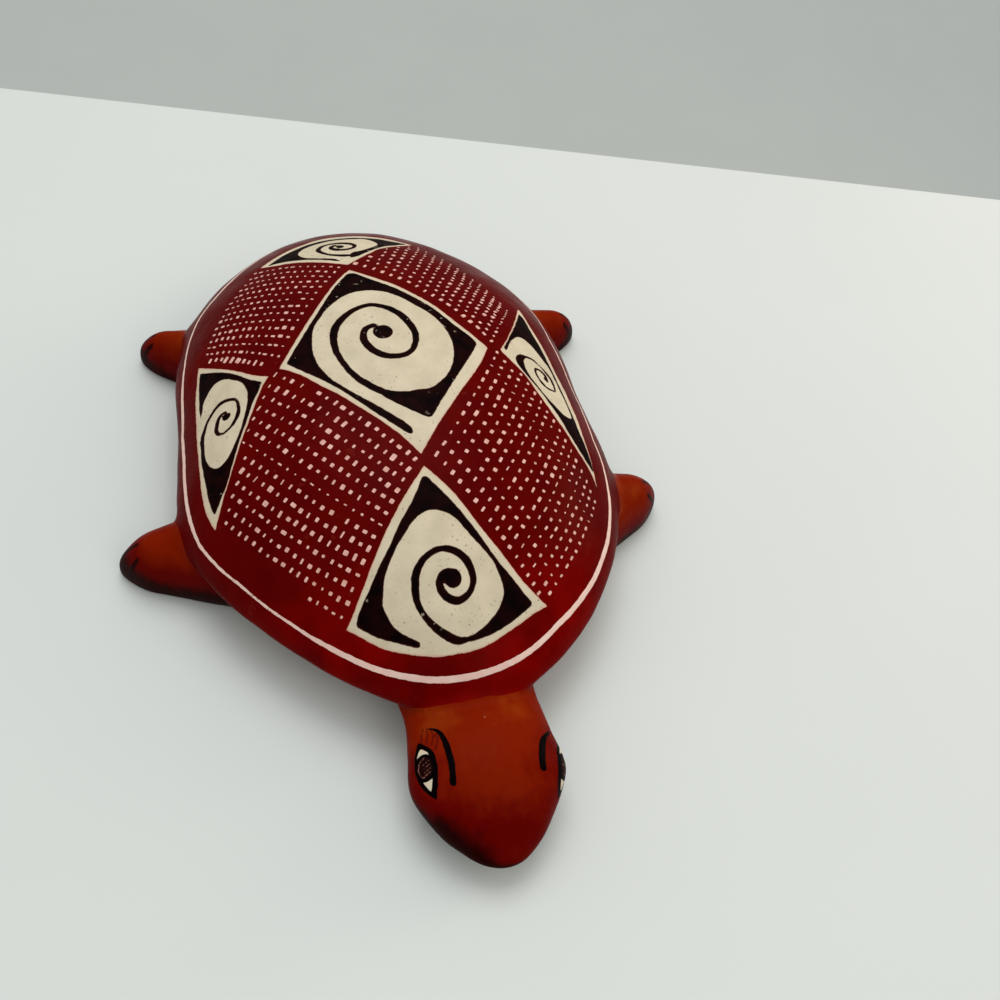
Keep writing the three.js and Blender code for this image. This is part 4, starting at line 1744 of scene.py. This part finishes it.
@dataclass(frozen=True)
class StudioCard:
    """Matt board of the table and of the ground beyond it, faintly clouded."""

    name: str
    tone: Tone = Tone.TABLE
    roughness: float = 0.75
    sheen: float = 0.2
    cloud_mm: float = 60.0

    def build(self) -> bpy.types.Material:
        """The material, with its tree."""
        mixer = Mixer(self.name)
        colour = mixer.layered(self.tone, (mixer.noise(self.cloud_mm, 3, 0.0, 0.08), Tone.SHADE_GREY))
        return mixer.close(colour, self.roughness, self.sheen)


# ---------------------------------------------------------------- studio


def bearing(azimuth: float, elevation: float) -> Vector:
    """The way from the turtle to what stands at two angles in degrees: azimuth 0 is its front."""
    turn, rise = math.radians(azimuth), math.radians(elevation)
    return Vector((math.sin(turn) * math.cos(rise), -math.cos(turn) * math.cos(rise), math.sin(rise)))


@dataclass(frozen=True)
class Lamp:
    """A square soft light that faces the turtle: its angles, its distance and side in mm, its watts."""

    name: str
    azimuth: float
    elevation: float
    away: float
    size: float
    power: float
    colour: tuple[float, float, float] = (1.0, 1.0, 1.0)

    def build(self) -> None:
        """Hang the lamp."""
        data = bpy.data.lights.new(self.name, "AREA")
        data.shape, data.size = "SQUARE", self.size * MM
        data.energy, data.color = self.power, self.colour
        made = bpy.data.objects.new(self.name, data)
        back = bearing(self.azimuth, self.elevation)
        made.location = (Vector(SHELL_MIDDLE) + back * self.away) * MM
        made.rotation_mode = "QUATERNION"
        made.rotation_quaternion = back.to_track_quat("Z", "Y")
        bpy.context.scene.collection.objects.link(made)


@dataclass(frozen=True)
class Studio:
    """The pale table, the lower ground beyond its far edge, the soft light and the camera."""

    distance: float = 223.88
    aim: tuple[float, float, float] = (21.24, -11.62, 0.0)
    azimuth: float = -22.712
    elevation: float = 54.232
    roll: float = 10.537
    lens_share: float = 1.0795
    sensor: float = 36.0
    far_edge: tuple[tuple[float, float], tuple[float, float]] = ((-76.8, 139.3), (185.2, 64.0))
    table_reach: float = 900.0
    table_depth: float = 18.0
    ground_drop: float = 260.0
    bright_azimuth: float = 176.0
    bright_elevation: float = 76.0
    room_levels: tuple[float, float] = (0.05, 0.71)
    room_reach: tuple[float, float] = (-0.25, 0.95)
    room_tints: tuple[tuple[float, ...], tuple[float, ...]] = ((1.0, 0.9, 0.8, 1.0), (0.98, 1.0, 0.99, 1.0))
    lamps: tuple[Lamp, ...] = (
        Lamp("softbox", 172, 66, 1800, 1100, 11.4),
        Lamp("front_fill", 25, 42, 900, 400, 0.7),
        Lamp("warm_window", 98, 20, 500, 200, 0.42, (1.0, 0.82, 0.62)),
    )

    def camera(self) -> None:
        """The camera at the photograph's viewing angle, made the scene's own."""
        turn, roll = math.radians(self.azimuth), math.radians(self.roll)
        back = bearing(self.azimuth, self.elevation)
        right = Vector((math.cos(turn), math.sin(turn), 0))
        up = back.cross(right)
        level = math.cos(roll) * right + math.sin(roll) * up
        above = math.cos(roll) * up - math.sin(roll) * right
        data = bpy.data.cameras.new("camera")
        data.sensor_width = self.sensor
        data.lens = self.lens_share * self.sensor
        data.clip_start, data.clip_end = 0.01, 10
        made = bpy.data.objects.new("camera", data)
        place = (Vector(self.aim) + Vector(SHELL_MIDDLE) + back * self.distance) * MM
        made.matrix_world = Matrix.Translation(place) @ Matrix((level, above, back)).transposed().to_4x4()
        bpy.context.scene.collection.objects.link(made)
        bpy.context.scene.camera = made

    def board(self, name: str, corners: list[Vector], top: float, finish: StudioCard) -> None:
        """One level board, which is the stage's and not the object's.

        Args:
            name: Its name.
            corners: The corners of its plan, in mm, turning left.
            top: Height of its upper face.
            finish: What it is made of.
        """
        count = len(corners)
        mesh = bpy.data.meshes.new(name)
        points = np.array([(*c, z) for z in (top, top - self.table_depth) for c in corners]) + SHELL_MIDDLE
        sides = [(i, i + count, (i + 1) % count + count, (i + 1) % count) for i in range(count)]
        faces = [tuple(range(count)), tuple(range(2 * count - 1, count - 1, -1))] + sides
        mesh.from_pydata((points * MM).tolist(), [], faces)
        mesh.materials.append(finish.build())
        made = bpy.data.objects.new(name, mesh)
        bpy.context.scene.collection.objects.link(made)

    def boards(self) -> None:
        """The table, up to its far edge, and the ground that shows beyond it."""
        a, b = (Vector(end) for end in self.far_edge)
        along = (b - a).normalized() * self.table_reach
        toward = Vector((along.y, -along.x))
        table = [a - along + 2 * toward, b + along + 2 * toward, b + along, a - along]
        ground = [
            a - 3 * (along - toward), b + 3 * (along + toward),
            b + 3 * (along - toward), a - 3 * (along + toward),
        ]
        self.board("table", table, 0.0, StudioCard("table_card"))
        self.board("ground", ground, -self.ground_drop, StudioCard("ground_card", Tone.GROUND))

    def room(self) -> None:
        """A pale room, bright overhead and dimmer and warmer low down, seen by its direction."""
        world = bpy.data.worlds.new("pale_room")
        bpy.context.scene.world = world
        world.use_nodes = True
        tree = world.node_tree
        tree.nodes.clear()
        way = add(tree, "ShaderNodeTexCoord").outputs["Generated"]
        bright = tuple(bearing(self.bright_azimuth, self.bright_elevation))
        both = {0: way, 1: bright}
        facing = add(tree, "ShaderNodeVectorMath", both, operation="DOT_PRODUCT").outputs["Value"]
        start, end = self.room_reach
        reach = {"Value": facing, "From Min": start, "From Max": end}
        share = add(tree, "ShaderNodeMapRange", reach, interpolation_type="SMOOTHSTEP").outputs[0]
        low, high = self.room_levels
        level = add(tree, "ShaderNodeMapRange", {"Value": share, "To Min": low, "To Max": high}).outputs[0]
        dim, clear = self.room_tints
        tint = add(tree, "ShaderNodeMix", {0: share, 6: dim, 7: clear}, data_type="RGBA").outputs[2]
        room = add(tree, "ShaderNodeBackground", {"Color": tint, "Strength": level})
        add(tree, "ShaderNodeOutputWorld", {"Surface": room.outputs[0]})

    def build(self) -> None:
        """All of the studio."""
        self.camera()
        self.boards()
        self.room()
        for lamp in self.lamps:
            lamp.build()
        bpy.context.scene.view_settings.view_transform = "Standard"


# ---------------------------------------------------------------- the rattle


@dataclass(frozen=True)
class FiringAndShade:
    """How far the kiln's smoke reddened and darkened the bare clay, with painted light and shade added on
    the head and underneath: golden below 0, near black at 1.6.
    """

    foot_base: float = 0.0
    smoked_base: float = 0.3
    smoked: tuple[str, ...] = ("foot_front_right",)
    # Darker low down, towards the table.
    foot_low: float = 1.15
    low_height: float = 10.5
    low_depth: float = 8.0
    tip: float = 0.6
    tip_from: float = 0.72
    # Painted shade where a foot's skin looks down.
    foot_under_shade: float = 0.7
    head_base: float = 0.18
    # Painted light: the skin next to the shell turns lighter and golden.
    neck: float = 0.5
    neck_end: float = 0.58
    neck_run: float = 0.14
    # Painted shade: darker towards the tip of the head.
    nose: float = 0.45
    # Painted shade on the snout where its skin faces forward, and the way that it faces.
    muzzle_shade: float = 1.25
    muzzle_shade_way: tuple[float, float, float] = (-0.34, -0.86, 0.0)
    # Painted shade on the sides of the head.
    cheek_shade: float = 0.6
    cheek_width: float = 12.0
    # Painted shade where the head's skin looks down.
    head_under_shade: float = 0.8

    def foot(self, name: str, share: np.ndarray, height: np.ndarray, under: np.ndarray) -> np.ndarray:
        """A foot or the tail: darker low down and at its tip, with painted shade underneath.

        Args:
            name: Its name.
            share: Shares along it.
            height: Heights above the table, in mm.
            under: How far each point looks down.

        Returns:
            One number for each point.
        """
        base = self.smoked_base if name in self.smoked else self.foot_base
        low = np.clip((self.low_height - height) / self.low_depth, 0, 1)
        tip = np.clip((share - self.tip_from) / (1 - self.tip_from), 0, 1.2)
        # Darker low down and at the tip, and painted shade where the skin looks down.
        return base + self.foot_low * low + self.tip * tip + self.foot_under_shade * under

    def head(
        self, share: np.ndarray, across: np.ndarray, normals: np.ndarray, under: np.ndarray
    ) -> np.ndarray:
        """The head: painted light makes it golden beside the shell, painted shade makes it red towards the
        nose, near black where the snout faces forward, and darker on its sides and underneath.

        Args:
            share: Shares along it.
            across: Distances from its middle line, in mm.
            normals: The skin's normals.
            under: How far each point looks down.

        Returns:
            One number for each point.
        """
        side = np.abs(across) / self.cheek_width
        # Painted light: lighter next to the shell, most on the sides.
        neck = np.clip((self.neck_end - share) / self.neck_run, 0, 1)
        neck *= np.clip((side - 0.15) / 0.5, 0.1, 1)
        # Painted shade: darker towards the tip of the head and where the snout faces forward.
        facing = normals @ np.array(self.muzzle_shade_way)
        nose = self.nose * eased(share, 0.62, 0.92) + self.muzzle_shade * eased(facing, 0.45, 1.0)
        # Painted shade on the sides of the head and where its skin looks down.
        side_and_under_shade = self.cheek_shade * side**2 + self.head_under_shade * under
        return self.head_base - self.neck * neck + nose * eased(share, 0.55, 0.85) + side_and_under_shade

    def of(self, form: ShellForm, limb: Limb, points: np.ndarray, normals: np.ndarray) -> np.ndarray:
        """How dark a limb's skin is from the kiln's smoke and from painted light and shade.

        Args:
            form: The body that carries the limb.
            limb: The limb.
            points: Its outer points, in mm.
            normals: Their normals.

        Returns:
            One number for each point.
        """
        share, across = limb.placed(form, points)
        # How far the skin looks down, which sets the painted shade beneath.
        under = np.clip(0.35 - normals[:, 2], 0, 1.2)
        if limb.name == "head":
            return self.head(share, across, normals, under)
        return self.foot(limb.name, share, points[:, 2], under)


@dataclass
class Turtle:
    """The clay body: its pieces, dressed and riding on their body."""

    skin: ClaySkin = field(default_factory=ClaySkin)
    paint: Paintwork = Paintwork()
    limb_paint: LimbPaint = LimbPaint()
    # The kiln's smoke on the limbs, with painted light and shade on the head and underneath.
    fire: FiringAndShade = FiringAndShade()

    def marks(self, patch: Patch) -> dict[str, np.ndarray]:
        """What the slips read at each outer point of a piece.

        Args:
            patch: The piece's share of the skin.

        Returns:
            Numbers for its outer points, by name.
        """
        outer = patch.points[: len(patch.normals)]
        if patch.name in ("carapace", "plastron"):
            return self.paint.marks(outer, patch.normals)
        limb = next(limb for limb in self.skin.clay.limbs if limb.name == patch.name)
        marks = {name: np.full(len(outer), UNPAINTED) for name, _, _ in BurnishedClay.paints}
        if limb.name == "head":
            marks.update(self.limb_paint.face(self.skin.clay, outer))
        elif limb.name != "tail":
            marks["toe_strokes"] = self.limb_paint.toes(self.skin.clay, limb, outer)
        return marks | {"firing_and_shade": self.fire.of(self.skin.clay.form, limb, outer, patch.normals)}

    def build(self) -> None:
        """Make, dress and place the pieces."""
        slip, clay = PaintedSlip().build(), BurnishedClay().build()
        for patch in self.skin.build():
            shell = patch.name in ("carapace", "plastron")
            made = mesh_object(patch, self.marks(patch), slip if shell else clay)
            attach(made, "turtle")
            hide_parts(patch.name)
            log.info("%s: %d faces", made.name, len(made.data.polygons))
        hatch = Hatching().build(self.skin.clay, self.paint, DabSlip().build())
        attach(hatch, "turtle")
        log.info("%s: %d faces", hatch.name, len(hatch.data.polygons))


@dataclass(frozen=True)
class Pellets:
    """The loose clay pellets that make the sound: rolled between the palms, a little uneven."""

    diameter: float = 7.1
    dent: float = 0.28
    dent_size: float = 3.2
    seed_step: float = 3.7

    def tree(self) -> bpy.types.NodeTree:
        """A ball drawn in by a seeded noise."""
        tree, given = new_tree("rolled_pellet", {
            "Diameter": "NodeSocketFloat", "Dent": "NodeSocketFloat", "Dent scale": "NodeSocketFloat",
            "Place": "NodeSocketVector", "Seed": "NodeSocketFloat", "Clay": "NodeSocketMaterial",
        })
        given = given.outputs
        radius = combined(tree, "MULTIPLY", given["Diameter"], 0.5)
        ball = add(tree, "GeometryNodeMeshIcoSphere", {"Radius": radius, "Subdivisions": 5})
        noise = add(tree, "ShaderNodeTexNoise", {
            "Vector": add(tree, "GeometryNodeInputPosition").outputs[0], "W": given["Seed"],
            "Scale": given["Dent scale"], "Detail": 2.0,
        }, noise_dimensions="4D").outputs["Fac"]
        inward = combined(tree, "MULTIPLY", noise, given["Dent"], -1.0)
        normal = add(tree, "GeometryNodeInputNormal").outputs[0]
        move = add(tree, "ShaderNodeVectorMath", {0: normal, 3: inward}, operation="SCALE").outputs[0]
        dented = add(tree, "GeometryNodeSetPosition", {"Geometry": ball.outputs[0], "Offset": move})
        placed = add(tree, "GeometryNodeTransform", {
            "Geometry": dented.outputs[0], "Translation": given["Place"],
        })
        smooth = add(tree, "GeometryNodeSetShadeSmooth", {"Geometry": placed.outputs[0]})
        finish_tree(tree, smooth.outputs[0], given["Clay"])
        return tree

    def build(self) -> None:
        """One pellet for each of the frame's, riding on its own body."""
        tree, clay = self.tree(), RawClay().build()
        bodies = sorted(name for name in frame["bodies"] if name.startswith("pellet_"))
        for number, body in enumerate(bodies):
            low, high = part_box(body)
            made = grown(body + "_clay", tree, bpy.data.meshes.new(body + "_seed"), {
                "Diameter": self.diameter * MM, "Dent": self.dent * MM,
                "Dent scale": per_mm(self.dent_size), "Place": tuple((low + high) / 2),
                "Seed": self.seed_step * number, "Clay": clay,
            })
            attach(made, body)
            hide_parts(body)
            log.info("%s: %d faces", made.name, len(made.data.polygons))


def main() -> None:
    """Build the pieces in order."""
    Studio().build()
    Turtle().build()
    Pellets().build()


if __name__ == "__main__":
    logging.basicConfig(level=logging.INFO, format="%(name)s: %(message)s")
    main()
